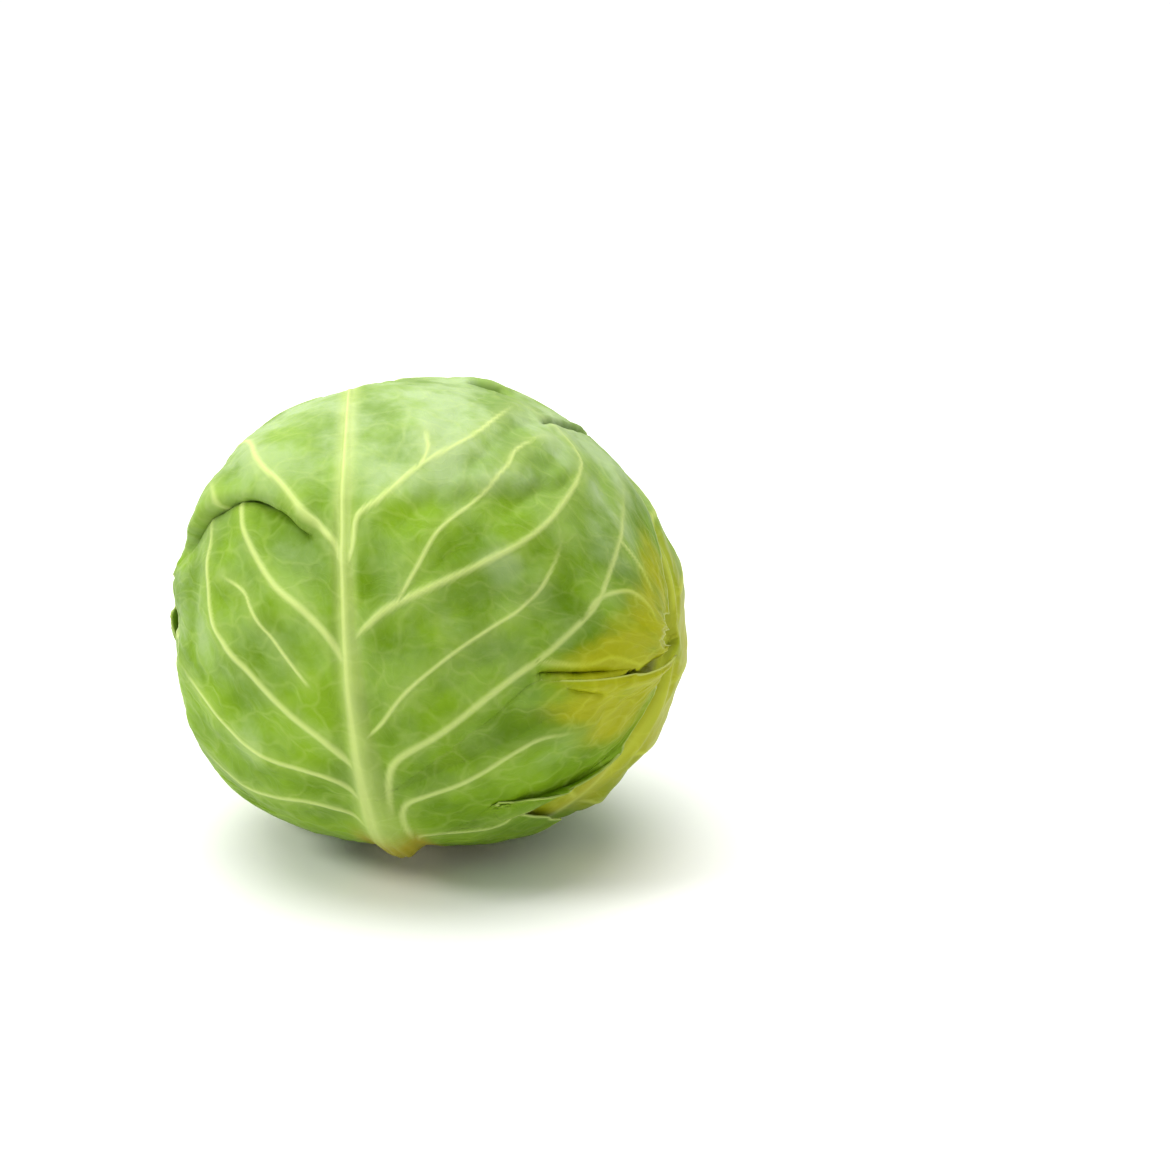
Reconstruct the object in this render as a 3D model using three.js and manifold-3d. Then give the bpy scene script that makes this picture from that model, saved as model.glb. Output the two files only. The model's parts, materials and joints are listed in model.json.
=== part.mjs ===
// A whole white cabbage, standing tilted on a small flat spot, in millimetres with +Z up.
// It is a short stalk, a dense heart of folded inner leaves, and six wrapper leaves that lie
// over each other like shingles. Every leaf follows one round skin and sinks by one layer
// wherever a leaf further out covers it. The origin is the bottom centre of its bounding box.
import * as THREE from "three";
import { mergeVertices } from "three/addons/utils/BufferGeometryUtils.js";
import Module from "manifold-3d";

const DEGREE = Math.PI / 180;

// Head: a sphere of 168 mm, flatter at the stalk and a little flatter at the crown
const headRadius = 84;
const baseFlattening = 9;
const baseSpread = 34 * DEGREE;
const crownFlattening = 2.5;
const crownSpread = 40 * DEGREE;
const restDepth = 76; // from the head's centre down to the flat spot
const tilt = 17 * DEGREE; // the stalk leans this far from straight down towards the front
const roll = 5.4 * DEGREE; // and this far towards the left

// Swellings of the head, each by a direction in the part's frame, a height and a spread
const swellings = [
  { name: "lower left cheek", towards: [-0.75, -0.22, -0.61], height: 3.5, spread: 32 * DEGREE },
  { name: "right cheek", towards: [0.99, -0.04, -0.11], height: 3.5, spread: 30 * DEGREE },
  { name: "left shoulder", towards: [-0.6, 0.27, 0.75], height: 2, spread: 30 * DEGREE },
  { name: "right shoulder", towards: [0.35, 0.32, 0.88], height: -2, spread: 34 * DEGREE },
  { name: "back", towards: [0.1, 0.95, 0.2], height: 2.5, spread: 40 * DEGREE },
];

// Leaves
const leafThickness = 0.9;
const layerStep = 2.5; // from one leaf's skin down to the skin of the leaf that it covers
const coverMargin = 5; // a covered leaf stays down this far past the edge above it
const coverFade = 20; // and then rises to the head's skin over this distance
const rowSpacing = 13.5; // the blade's rows end this far from each other along its edge
const ribColumns = [0, 0.55]; // shares of the midrib's half width
const bladeColumns = [0, 0.15, 0.3, 0.46, 0.62, 0.77, 0.9, 1]; // from the midrib to the edge
const lowestRowAngle = -72; // degrees, seen from the middle of the blade
const highestRowAngle = 82;
const baseRingRadius = 15.8; // the leaves' bases stand round the stalk at this distance
const edgeWaves = [[44, 0.02], [27, 0.014]]; // in the outline: degrees a wave, share of reach
const ruffle = { wave: 30, height: 1.2 }; // at the edge: degrees a wave, mm away from the head
const midribHeight = 4.6;
const midribHalfWidth = 7.5;
const sideRibHeight = 1.3;
const sideRibAngles = [-56, -34, -14, 12, 34, 54, 70]; // where the side ribs meet the edge

// Stalk: cut off square below the leaves, tapering up into the heart
const stalkRadius = 14;
const stalkTopRadius = 8;
const stalkCutDepth = 73.5; // below the head's centre, along the head's own axis
const stalkTopDepth = 8;
const stalkGap = 0.4;
const stalkSides = 32;

// Heart: the inner leaves, with their edges raised in relief
const heartClearance = 0.8;
const heartStep = 1.6;
const heartRows = 30;
const heartColumns = 48;

// Wrapper leaves, outermost first. Azimuth is seen from above, 0 to the front, positive to the
// right, in the head's own frame. The blade is an oval in leaf coordinates: "middle" is its
// centre's distance from the stalk's pole along the midrib, and reach is its outline as a share
// of the oval, by angle in degrees from the lowest row to the highest. lift is how far stretches
// of the edge stand away from the head, as [angle, width in degrees, height in mm].
const wrapperLeaves = [
  {
    name: "wrapper_leaf_1",
    azimuth: -17,
    middle: 125,
    halfLength: 115,
    halfWidth: { left: 92, right: 118 },
    bend: { start: 4, total: -26 },
    reach: {
      left: [[-72, 1.04], [-58, 0.98], [-40, 1.06], [-18, 0.97], [4, 1.0], [30, 1.08], [90, 1.08]],
      right: [
        [-72, 1.2], [-66, 1.14], [-62.5, 0.98], [-59, 0.62], [-54, 0.68], [-49, 0.82],
        [-43, 1.02], [-34, 1.1], [-16, 1.08], [-10.5, 0.84], [-8.2, 0.5], [-6, 0.8], [-1, 1.06],
        [6, 1.06],
        [20, 1.16], [38, 1.42], [52, 1.62], [62, 1.6], [72, 1.34], [90, 1.1],
      ],
    },
    untorn: {
      left: [[-72, 1.04], [-40, 1.04], [4, 1.0], [90, 1.08]],
      right: [[-72, 1.16], [-30, 1.08], [10, 1.08], [38, 1.4], [56, 1.6], [90, 1.1]],
    },
    lift: {
      left: [[-30, 14, 1.5], [14, 16, 1.5]],
      right: [[-50, 6, 3.5], [-13, 4, 2.5], [70, 12, 2.5]],
    },
    pleat: { along: 178, across: -46, curve: 0.014, start: -14, full: -44, height: 4.5 },
  },
  {
    name: "wrapper_leaf_2",
    azimuth: -170,
    middle: 122,
    halfLength: 108,
    halfWidth: { left: 106, right: 100 },
    bend: { start: 0, total: 14 },
    reach: {
      left: [[-72, 1.18], [-45, 1.06], [-12, 0.97], [18, 1.05], [50, 0.98], [90, 1.06]],
      right: [[-72, 1.18], [-50, 1.04], [-25, 0.96], [5, 1.03], [35, 0.95], [60, 1.04], [90, 1.06]],
    },
    lift: { left: [[-20, 16, 2.5], [40, 12, 2]], right: [[0, 14, 3], [45, 16, 2]] },
  },
  {
    name: "wrapper_leaf_3",
    azimuth: 68,
    middle: 124,
    halfLength: 110,
    halfWidth: { left: 96, right: 108 },
    bend: { start: 0, total: 10 },
    reach: {
      left: [[-72, 1.12], [-52, 1.05], [-30, 1.0], [0, 1.04], [35, 0.97], [90, 1.08]],
      right: [[-72, 1.12], [-40, 1.05], [-10, 0.96], [25, 1.05], [60, 0.97], [90, 1.08]],
    },
    lift: { left: [[-56, 12, 2], [-20, 14, 2]], right: [[10, 18, 2.5], [62, 14, 2]] },
  },
  {
    name: "wrapper_leaf_4",
    azimuth: -69.5,
    middle: 120,
    halfLength: 106,
    halfWidth: { left: 104, right: 98 },
    bend: { start: 0, total: -8 },
    reach: {
      left: [[-72, 1.12], [-40, 1.03], [0, 0.96], [40, 1.04], [90, 1.06]],
      right: [[-72, 1.12], [-30, 1.04], [10, 0.98], [50, 1.03], [90, 1.06]],
    },
    lift: { left: [[-35, 14, 2.5], [25, 18, 2.5]], right: [[40, 14, 1.5]] },
  },
  {
    name: "wrapper_leaf_5",
    azimuth: 135,
    middle: 122,
    halfLength: 108,
    halfWidth: { left: 86, right: 102 },
    bend: { start: 0, total: 12 },
    reach: {
      left: [[-72, 1.12], [-35, 1.04], [5, 0.97], [45, 1.03], [90, 1.04]],
      right: [[-72, 1.12], [-45, 1.02], [-5, 1.04], [30, 0.96], [90, 1.04]],
    },
    lift: { left: [[0, 16, 2]], right: [[20, 16, 2]] },
  },
  {
    name: "wrapper_leaf_6",
    azimuth: 15.5,
    middle: 124,
    halfLength: 110,
    halfWidth: { left: 98, right: 96 },
    bend: { start: 0, total: -10 },
    reach: {
      left: [[-72, 1.12], [-30, 1.03], [20, 0.98], [90, 1.04]],
      right: [[-72, 1.12], [-40, 0.98], [0, 1.03], [90, 1.04]],
    },
    lift: { left: [[50, 16, 1.5]], right: [[55, 16, 2]] },
  },
];

// The heart's own leaves show on its surface as raised edges, so they need only their outlines
const heartLeafCount = 6;
const leafTurn = 137.5; // degrees from one leaf to the next round the stalk
const heartLeaves = Array.from({ length: heartLeafCount }, (_, i) => ({
  azimuth: 15.5 - leafTurn * (i + 1),
  middle: 116,
  halfLength: 104,
  halfWidth: { left: 78 - 3 * i, right: 74 - 2 * i },
  bend: { start: 0, total: i % 2 ? 12 : -12 },
  reach: { left: [[-72, 1], [0, 1.05], [90, 1]], right: [[-72, 1], [20, 0.97], [90, 1]] },
}));

const clamp = (x, low, high) => Math.min(high, Math.max(low, x));
const bell = (x) => Math.exp(-x * x);

function smoothStep(from, to, x) {
  const share = clamp((x - from) / (to - from), 0, 1);
  return share * share * (3 - 2 * share);
}

// A smooth curve through [position, value] points, level at each point
function along(points, x) {
  if (x <= points[0][0]) return points[0][1];
  for (let i = 1; i < points.length; i++) {
    const [x1, y1] = points[i];
    if (x > x1) continue;
    const [x0, y0] = points[i - 1];
    return y0 + (y1 - y0) * smoothStep(x0, x1, x);
  }
  return points[points.length - 1][1];
}

// Head frame: the stalk points down its -Z, and a rotation about its centre tilts it
const headTurn = new THREE.Quaternion()
  .setFromAxisAngle(new THREE.Vector3(0, 1, 0), roll)
  .multiply(new THREE.Quaternion().setFromAxisAngle(new THREE.Vector3(1, 0, 0), -tilt));

// Distance from the head's centre to the plane that it rests on, in a direction of the head frame
function floorRadius(direction) {
  const { z } = direction.clone().applyQuaternion(headTurn);
  return z < 0 ? restDepth / -z : Infinity;
}

// Distance from the head's centre to its outer skin
function skinRadius(direction) {
  const polar = Math.acos(clamp(-direction.z, -1, 1));
  let radius = headRadius;
  radius -= baseFlattening * bell(polar / baseSpread);
  radius -= crownFlattening * bell((Math.PI - polar) / crownSpread);
  const inPart = direction.clone().applyQuaternion(headTurn);
  for (const { towards, height, spread } of swellings) {
    const angle = inPart.angleTo(new THREE.Vector3(...towards));
    radius += height * bell(angle / spread);
  }
  return Math.min(radius, floorRadius(direction));
}

// Leaf coordinates: millimetres along the midrib from the stalk's pole, and across it
function midribShift(leaf, alongMm) {
  return leaf.bend.start + leaf.bend.total * ((alongMm - 30) / 190) ** 2;
}

function leafDirection(leaf, alongMm, acrossMm) {
  const azimuth = leaf.azimuth * DEGREE;
  const forward = alongMm / headRadius;
  const sideways = (acrossMm + midribShift(leaf, alongMm)) / headRadius;
  const out = new THREE.Vector3(Math.sin(azimuth), -Math.cos(azimuth), 0);
  const side = new THREE.Vector3(Math.cos(azimuth), Math.sin(azimuth), 0);
  return out
    .multiplyScalar(Math.sin(forward))
    .setZ(-Math.cos(forward))
    .multiplyScalar(Math.cos(sideways))
    .addScaledVector(side, Math.sin(sideways));
}

function leafCoordinates(leaf, direction) {
  const azimuth = leaf.azimuth * DEGREE;
  const outward = direction.x * Math.sin(azimuth) - direction.y * Math.cos(azimuth);
  const sideways = direction.x * Math.cos(azimuth) + direction.y * Math.sin(azimuth);
  let forward = Math.atan2(outward, -direction.z);
  if (forward < -Math.PI / 2) forward += 2 * Math.PI;
  const alongMm = headRadius * forward;
  const acrossMm = headRadius * Math.asin(clamp(sideways, -1, 1)) - midribShift(leaf, alongMm);
  return { alongMm, acrossMm };
}

const sideOf = (acrossMm) => (acrossMm < 0 ? "left" : "right");

// A leaf's outline: its drawn reach, with small waves that differ from leaf to leaf
function reachAt(leaf, side, angle) {
  const phase = leaf.azimuth * (side === "left" ? 1 : 2.3);
  const waves = edgeWaves.map(([wave, share]) =>
    share * Math.sin((360 * angle / wave + 5 * phase) * DEGREE));
  return along(leaf.reach[side], angle) + waves.reduce((sum, x) => sum + x, 0);
}

// How far a place is inside a leaf's outline, in millimetres. A torn leaf gives its outline
// without the tears, so that the leaf underneath stays down in them.
function insideEdge(leaf, { alongMm, acrossMm }) {
  const side = sideOf(acrossMm);
  const x = Math.abs(acrossMm) / leaf.halfWidth[side];
  const y = (alongMm - leaf.middle) / leaf.halfLength;
  const untorn = (leaf.untorn ?? leaf.reach)[side];
  const reach = along(untorn, Math.atan2(y, x) / DEGREE);
  return (reach - Math.hypot(x, y)) * 0.5 * (leaf.halfLength + leaf.halfWidth[side]);
}

// 1 where a leaf covers a direction, falling to 0 over the fade past its edge
function cover(leaf, direction) {
  const inside = insideEdge(leaf, leafCoordinates(leaf, direction));
  return smoothStep(-coverMargin - coverFade, -coverMargin, inside);
}

// How deep the leaves further out press a layer down, and how free its surface is
function underLeaves(leaves, step, direction) {
  const covers = leaves.map((leaf) => cover(leaf, direction));
  const depth = step * covers.reduce((sum, share) => sum + share, 0);
  return { depth, free: 1 - Math.max(0, ...covers) };
}

// The midrib: broad and thick where it leaves the stalk, rounded off at its very base
function midribWidthAt(alongMm) {
  const width = 0.8 + midribHalfWidth * Math.exp(-(alongMm - 50) / 55);
  return Math.min(width, midribHalfWidth) * (0.6 + 0.4 * smoothStep(17, 40, alongMm));
}

function midribHeightAt(alongMm) {
  return midribHeight * Math.exp(-Math.max(alongMm - 20, 0) / 70) + 0.4;
}

// Stretches of the edge that stand away from the head, rising over the outer part of the blade,
// and a gentle ruffle all along it
function edgeLift(leaf, side, angle, columnShare) {
  const height = leaf.lift[side].reduce(
    (most, [at, width, mm]) => Math.max(most, mm * bell((angle - at) / width)), 0,
  );
  const wave = 0.5 + 0.5 * Math.sin((360 * angle / ruffle.wave + 3 * leaf.azimuth) * DEGREE);
  return smoothStep(0.72, 1, columnShare) * (height + ruffle.height * wave);
}

// The pleat across a blade: its upper side rides over its lower side
function pleatLift(leaf, alongMm, acrossMm) {
  if (!leaf.pleat) return 0;
  const { along: crest, across, curve, start, full, height } = leaf.pleat;
  const fold = crest - curve * (acrossMm - across) ** 2;
  const strength = smoothStep(start, full, acrossMm) - 0.5 * smoothStep(-60, -92, acrossMm);
  const above = alongMm - fold;
  const profile = above < 0 ? smoothStep(-7, 0, above) : Math.exp(-above / 16);
  return height * strength * profile;
}

// A place on the edge, in leaf coordinates
function edgePoint(leaf, side, angle) {
  const reach = reachAt(leaf, side, angle);
  return new THREE.Vector2(
    leaf.middle + leaf.halfLength * reach * Math.sin(angle * DEGREE),
    leaf.halfWidth[side] * reach * Math.cos(angle * DEGREE),
  );
}

// The angles at which the rows meet the edge, evenly spaced along it, tears included
function rowAngles(leaf) {
  const fine = 0.5;
  const lengths = [0];
  for (let angle = lowestRowAngle + fine; angle <= highestRowAngle; angle += fine) {
    const steps = ["left", "right"].map((side) =>
      edgePoint(leaf, side, angle).distanceTo(edgePoint(leaf, side, angle - fine)));
    lengths.push(lengths[lengths.length - 1] + Math.max(...steps));
  }
  const total = lengths[lengths.length - 1];
  const rows = Math.round(total / rowSpacing);
  return Array.from({ length: rows + 1 }, (_, row) => {
    const at = lengths.findIndex((length) => length >= (total * row) / rows - 1e-9);
    return lowestRowAngle + fine * at;
  });
}

// Share of the midrib, from base to tip, at which a row of the blade starts
const rootShare = (share) => share * (1.1 - 2.2 * share + 2.1 * share * share);

// One closed shell: the outer face, the inner face and the rim that joins them
function leafGeometry(leaf, rank) {
  const outer = wrapperLeaves.slice(0, rank);
  const poleRadius = headRadius - baseFlattening - layerStep * rank;
  const base = headRadius * Math.asin(baseRingRadius / poleRadius);
  const tip = leaf.middle + leaf.halfLength * reachAt(leaf, "left", highestRowAngle);
  const half = [
    ...ribColumns.map((share) => ({ onRib: share, onBlade: 0 })),
    ...bladeColumns.map((share) => ({ onRib: 1, onBlade: share })),
  ];
  const columns = [
    ...half.slice(1).reverse().map((column) => ({ ...column, sign: -1 })),
    ...half.map((column) => ({ ...column, sign: 1 })),
  ];
  const angles = rowAngles(leaf);
  const nearest = (angle) => angles.reduce((best, a, row) =>
    (Math.abs(a - angle) < Math.abs(angles[best] - angle) ? row : best), 0);
  const sideRibRows = new Set(sideRibAngles.map(nearest));
  const outerPoints = [];
  const innerPoints = [];
  angles.forEach((angle, row) => {
    const upBlade = (angle - lowestRowAngle) / (highestRowAngle - lowestRowAngle);
    const root = base + (tip - base) * rootShare(upBlade);
    const ribWidth = midribWidthAt(root);
    for (const { onRib, onBlade, sign } of columns) {
      const side = sign < 0 ? "left" : "right";
      const edge = edgePoint(leaf, side, angle);
      const length = Math.hypot(edge.x - root, edge.y);
      const share = (onRib * ribWidth + onBlade * (length - ribWidth)) / length;
      const alongMm = root + (edge.x - root) * share;
      const acrossMm = sign * edge.y * share;
      const direction = leafDirection(leaf, alongMm, acrossMm);
      const { depth, free } = underLeaves(outer, layerStep, direction);
      const floor = floorRadius(direction);
      const lift = edgeLift(leaf, side, angle, share) + pleatLift(leaf, alongMm, acrossMm);
      const sideRib = sideRibRows.has(row) ? sideRibHeight * (1 - share) : 0;
      const rib = Math.max(midribHeightAt(root) * (1 - onRib ** 2), sideRib);
      const sheet = Math.min(skinRadius(direction) - depth + free * lift, floor);
      const outside = Math.min(sheet + free * rib, floor);
      outerPoints.push(direction.clone().multiplyScalar(outside));
      innerPoints.push(direction.clone().multiplyScalar(sheet - leafThickness));
    }
  });
  const wide = columns.length;
  const inner = outerPoints.length;
  const faces = [];
  const quad = (a, b, c, d) => faces.push(a, b, c, a, c, d);
  for (let row = 0; row < angles.length - 1; row++) {
    for (let column = 0; column < wide - 1; column++) {
      const a = row * wide + column;
      quad(a, a + 1, a + wide + 1, a + wide);
      quad(inner + a, inner + a + wide, inner + a + wide + 1, inner + a + 1);
    }
  }
  const rim = rimOf(angles.length, wide);
  for (let i = 0; i < rim.length; i++) {
    const from = rim[i];
    const to = rim[(i + 1) % rim.length];
    quad(from, inner + from, inner + to, to);
  }
  return toGeometry([...outerPoints, ...innerPoints], faces);
}

// The vertices round a grid's edge, anticlockwise
function rimOf(rows, columns) {
  const at = (row, column) => row * columns + column;
  const loop = [];
  for (let c = 0; c < columns - 1; c++) loop.push(at(0, c));
  for (let r = 0; r < rows - 1; r++) loop.push(at(r, columns - 1));
  for (let c = columns - 1; c > 0; c--) loop.push(at(rows - 1, c));
  for (let r = rows - 1; r > 0; r--) loop.push(at(r, 0));
  return loop;
}

function toGeometry(points, faces) {
  const geometry = new THREE.BufferGeometry();
  geometry.setFromPoints(points);
  geometry.setIndex(faces);
  geometry.computeVertexNormals();
  return geometry;
}

// The heart's radius: under all wrapper leaves. Its own leaves lie over each other too, so each
// place sinks by one step for every leaf that ends before it
function heartRadius(direction) {
  const { depth } = underLeaves(wrapperLeaves, layerStep, direction);
  let relief = 0;
  for (const leaf of heartLeaves) {
    if (insideEdge(leaf, leafCoordinates(leaf, direction)) > 0) break;
    relief += heartStep * cover(leaf, direction);
  }
  return skinRadius(direction) - depth - heartClearance - relief;
}

function heartGeometry() {
  const points = [new THREE.Vector3(0, 0, -1)];
  for (let row = 1; row < heartRows; row++) {
    const polar = (Math.PI * row) / heartRows;
    for (let column = 0; column < heartColumns; column++) {
      const azimuth = (2 * Math.PI * column) / heartColumns;
      const flat = Math.sin(polar);
      points.push(new THREE.Vector3(
        flat * Math.cos(azimuth), flat * Math.sin(azimuth), -Math.cos(polar),
      ));
    }
  }
  points.push(new THREE.Vector3(0, 0, 1));
  points.forEach((point) => point.multiplyScalar(heartRadius(point)));
  const last = points.length - 1;
  const at = (row, column) => 1 + (row - 1) * heartColumns + (column % heartColumns);
  const faces = [];
  for (let column = 0; column < heartColumns; column++) {
    faces.push(0, at(1, column + 1), at(1, column));
    for (let row = 1; row < heartRows - 1; row++) {
      const [a, b] = [at(row, column), at(row, column + 1)];
      const [c, d] = [at(row + 1, column + 1), at(row + 1, column)];
      faces.push(a, b, c, a, c, d);
    }
    faces.push(last, at(heartRows - 1, column), at(heartRows - 1, column + 1));
  }
  return toGeometry(points, faces);
}

// The stalk is turned about the head's axis; grown by a gap, the same shape cuts its socket
function stalkGeometry(gap) {
  const bottom = -stalkCutDepth - (gap > 0 ? 20 : 0);
  const profile = [
    new THREE.Vector2(0, bottom),
    new THREE.Vector2(stalkRadius + gap - 0.8, bottom),
    new THREE.Vector2(stalkRadius + gap, bottom + 0.8),
    new THREE.Vector2(stalkRadius + gap, -stalkCutDepth + 12),
    new THREE.Vector2(stalkTopRadius + gap + 1.5, -stalkTopDepth - 24),
    new THREE.Vector2(stalkTopRadius + gap, -stalkTopDepth - 6),
    new THREE.Vector2(stalkTopRadius + gap - 3.5, -stalkTopDepth + gap),
    new THREE.Vector2(0, -stalkTopDepth + gap),
  ];
  return new THREE.LatheGeometry(profile, stalkSides).rotateX(Math.PI / 2);
}

const wasm = await Module();
wasm.setup();

function toSolid(geometry) {
  const bare = new THREE.BufferGeometry();
  bare.setAttribute("position", geometry.getAttribute("position"));
  bare.setIndex(geometry.getIndex());
  const merged = mergeVertices(bare, 1e-3);
  return new wasm.Manifold(new wasm.Mesh({
    numProp: 3,
    vertProperties: new Float32Array(merged.getAttribute("position").array),
    triVerts: new Uint32Array(merged.getIndex().array),
  }));
}

function fromSolid(solid) {
  const { vertProperties, triVerts } = solid.getMesh();
  const geometry = new THREE.BufferGeometry();
  geometry.setAttribute("position", new THREE.BufferAttribute(vertProperties, 3));
  geometry.setIndex(new THREE.BufferAttribute(triVerts, 1));
  geometry.computeVertexNormals();
  return geometry;
}

const finish = (color, roughness) =>
  new THREE.MeshStandardMaterial({ color, roughness, metalness: 0, side: THREE.DoubleSide });
const outerGreen = finish(0x9cc25a, 0.5);
const innerGreen = finish(0xb9cf6a, 0.5);
const heartYellow = finish(0xd8dc86, 0.55);
const stalkCream = finish(0xe6e2b0, 0.65);

function piece(name, geometry, material) {
  const mesh = new THREE.Mesh(geometry, material);
  mesh.name = name;
  return mesh;
}

const head = new THREE.Group();
head.quaternion.copy(headTurn);

const socket = toSolid(stalkGeometry(stalkGap));
const heart = toSolid(heartGeometry()).subtract(socket);
head.add(piece("stalk", stalkGeometry(0), stalkCream));
head.add(piece("heart", fromSolid(heart), heartYellow));
wrapperLeaves.forEach((leaf, rank) => {
  const material = rank < 2 ? outerGreen : innerGreen;
  head.add(piece(leaf.name, leafGeometry(leaf, rank), material));
});

// The origin is under the middle of the head's width and depth, in the plane that it rests on
const middle = new THREE.Box3().setFromObject(head, true).getCenter(new THREE.Vector3());
head.position.set(-middle.x, -middle.y, restDepth);

const cabbage = new THREE.Group();
cabbage.add(head);

export default cabbage;
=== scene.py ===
# %% [markdown]
# # A whole white cabbage
# This lesson dresses a plain solid model of a cabbage head. The solids say where everything is:
# a short stalk, a dense heart, and six wrapper leaves that lie over each other like shingles.
# Each piece is made again here, finer, with its ribs, net of veins, pleats and torn edges.
# The first cell loads the solids, which stay the frame of the part.

# %% The frame
import json
import math
import bpy
from mathutils import Matrix, Vector
import numpy as np

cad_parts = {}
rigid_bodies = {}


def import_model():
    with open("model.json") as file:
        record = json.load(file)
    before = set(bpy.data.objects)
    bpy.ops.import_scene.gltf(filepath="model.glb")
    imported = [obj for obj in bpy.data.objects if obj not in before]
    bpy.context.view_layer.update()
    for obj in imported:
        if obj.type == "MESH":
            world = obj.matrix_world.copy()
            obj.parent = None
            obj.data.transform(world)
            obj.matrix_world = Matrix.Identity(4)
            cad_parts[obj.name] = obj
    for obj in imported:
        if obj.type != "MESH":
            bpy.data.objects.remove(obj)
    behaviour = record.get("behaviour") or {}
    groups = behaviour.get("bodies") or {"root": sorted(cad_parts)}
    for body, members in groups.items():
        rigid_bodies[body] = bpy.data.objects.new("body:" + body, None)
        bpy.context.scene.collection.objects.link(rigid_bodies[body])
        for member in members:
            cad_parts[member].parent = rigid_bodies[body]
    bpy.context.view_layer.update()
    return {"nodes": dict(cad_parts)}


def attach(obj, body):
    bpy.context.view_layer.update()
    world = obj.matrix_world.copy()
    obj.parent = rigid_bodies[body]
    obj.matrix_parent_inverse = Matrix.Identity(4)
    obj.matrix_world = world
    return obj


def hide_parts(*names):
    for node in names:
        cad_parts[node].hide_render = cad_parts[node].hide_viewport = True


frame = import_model()
print("solids:", sorted(frame["nodes"]))

# %% [markdown]
# ## The camera
# A photograph fixes how a thing is seen, so the camera comes before any piece. The real camera
# stood a good metre away with a long lens and looked down by some twenty degrees. It could be
# placed by hand in the viewport. Here its place is worked out from that angle and distance, so
# the numbers can be read and changed.

# %% The camera
HEAD_CENTRE = np.array([-0.22, -1.13, 76.0])  # mm: under it the head's flat spot meets the table
CAMERA_DISTANCE = 1300.0
CAMERA_ELEVATION = math.radians(20)
AIM_RIGHT, AIM_UP = 54.0, 11.3  # mm from the head's centre to what the camera looks at
LENS, SENSOR, NEAREST = 117, 36, 0.05  # mm, mm, m
MM = 0.001


def place_camera():
    """A long lens looking at a point right of the head and above it, as in the photograph."""
    back = np.array([0, -math.cos(CAMERA_ELEVATION), math.sin(CAMERA_ELEVATION)])
    up = np.array([0, math.sin(CAMERA_ELEVATION), math.cos(CAMERA_ELEVATION)])
    eye = HEAD_CENTRE + CAMERA_DISTANCE * back
    target = HEAD_CENTRE + np.array([AIM_RIGHT, 0, 0]) + AIM_UP * up
    camera = bpy.data.objects.new("camera", bpy.data.cameras.new("camera"))
    camera.data.lens = LENS
    camera.data.sensor_width = SENSOR
    camera.data.clip_start = NEAREST
    bpy.context.scene.collection.objects.link(camera)
    forward = (target - eye) / np.linalg.norm(target - eye)
    right = np.cross(forward, [0, 0, 1])
    right /= np.linalg.norm(right)
    true_up = np.cross(right, forward)
    matrix = np.identity(4)
    matrix[:3, 0], matrix[:3, 1], matrix[:3, 2] = right, true_up, -forward
    matrix[:3, 3] = eye * MM
    camera.matrix_world = Matrix(matrix.tolist())
    bpy.context.scene.camera = camera
    return camera


camera = place_camera()
print("camera at", [round(x, 3) for x in camera.matrix_world.translation])

# %% [markdown]
# ## The head's skin
# A cabbage head is nearly a sphere, flattened where the stalk is and a little at the crown, with
# a cheek here and a shoulder there. One could sculpt it. A formula is better here, because every
# leaf must follow the same skin: it gives the distance from the head's centre in any direction,
# and it is the one that the solids were made with. The stalk points down in the head's own
# frame, and the head is then tilted so that the stalk's end faces the camera.

# %% The skin's formula
DEGREE = math.pi / 180
HEAD_RADIUS = 84.0
BASE_FLATTENING, BASE_SPREAD = 9.0, 34 * DEGREE
CROWN_FLATTENING, CROWN_SPREAD = 2.5, 40 * DEGREE
REST_DEPTH = 76.0
TILT, ROLL = 17 * DEGREE, 5.4 * DEGREE
SWELLINGS = [
    ((-0.75, -0.22, -0.61), 3.5, 32 * DEGREE),  # lower left cheek
    ((0.99, -0.04, -0.11), 3.5, 30 * DEGREE),  # right cheek
    ((-0.6, 0.27, 0.75), 2.0, 30 * DEGREE),  # left shoulder
    ((0.35, 0.32, 0.88), -2.0, 34 * DEGREE),  # right shoulder
    ((0.1, 0.95, 0.2), 2.5, 40 * DEGREE),  # back
]


def turn(axis, angle):
    """The matrix that turns by an angle about the X or the Y axis."""
    c, s = math.cos(angle), math.sin(angle)
    return np.array([[1, 0, 0], [0, c, -s], [0, s, c]] if axis == "X" else
                    [[c, 0, s], [0, 1, 0], [-s, 0, c]])


HEAD_TURN = turn("Y", ROLL) @ turn("X", -TILT)


def bell(x):
    return np.exp(-x * x)


def smooth(start, end, x):
    """0 before start, 1 after end, and an easy slope between."""
    share = np.clip((x - start) / (end - start), 0, 1)
    return share * share * (3 - 2 * share)


def through(points, x):
    """A smooth curve through (position, value) points, level at each."""
    at, value = (np.array(column, float) for column in zip(*points))
    i = np.clip(np.searchsorted(at, x) - 1, 0, len(at) - 2)
    share = np.clip((x - at[i]) / (at[i + 1] - at[i]), 0, 1)
    return value[i] + (value[i + 1] - value[i]) * share * share * (3 - 2 * share)


def floor_radius(direction):
    """How far the table is from the head's centre, in directions of the head's frame."""
    down = -(direction @ HEAD_TURN.T)[..., 2]
    return np.where(down > 1e-6, REST_DEPTH / np.maximum(down, 1e-6), 1e9)


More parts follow.
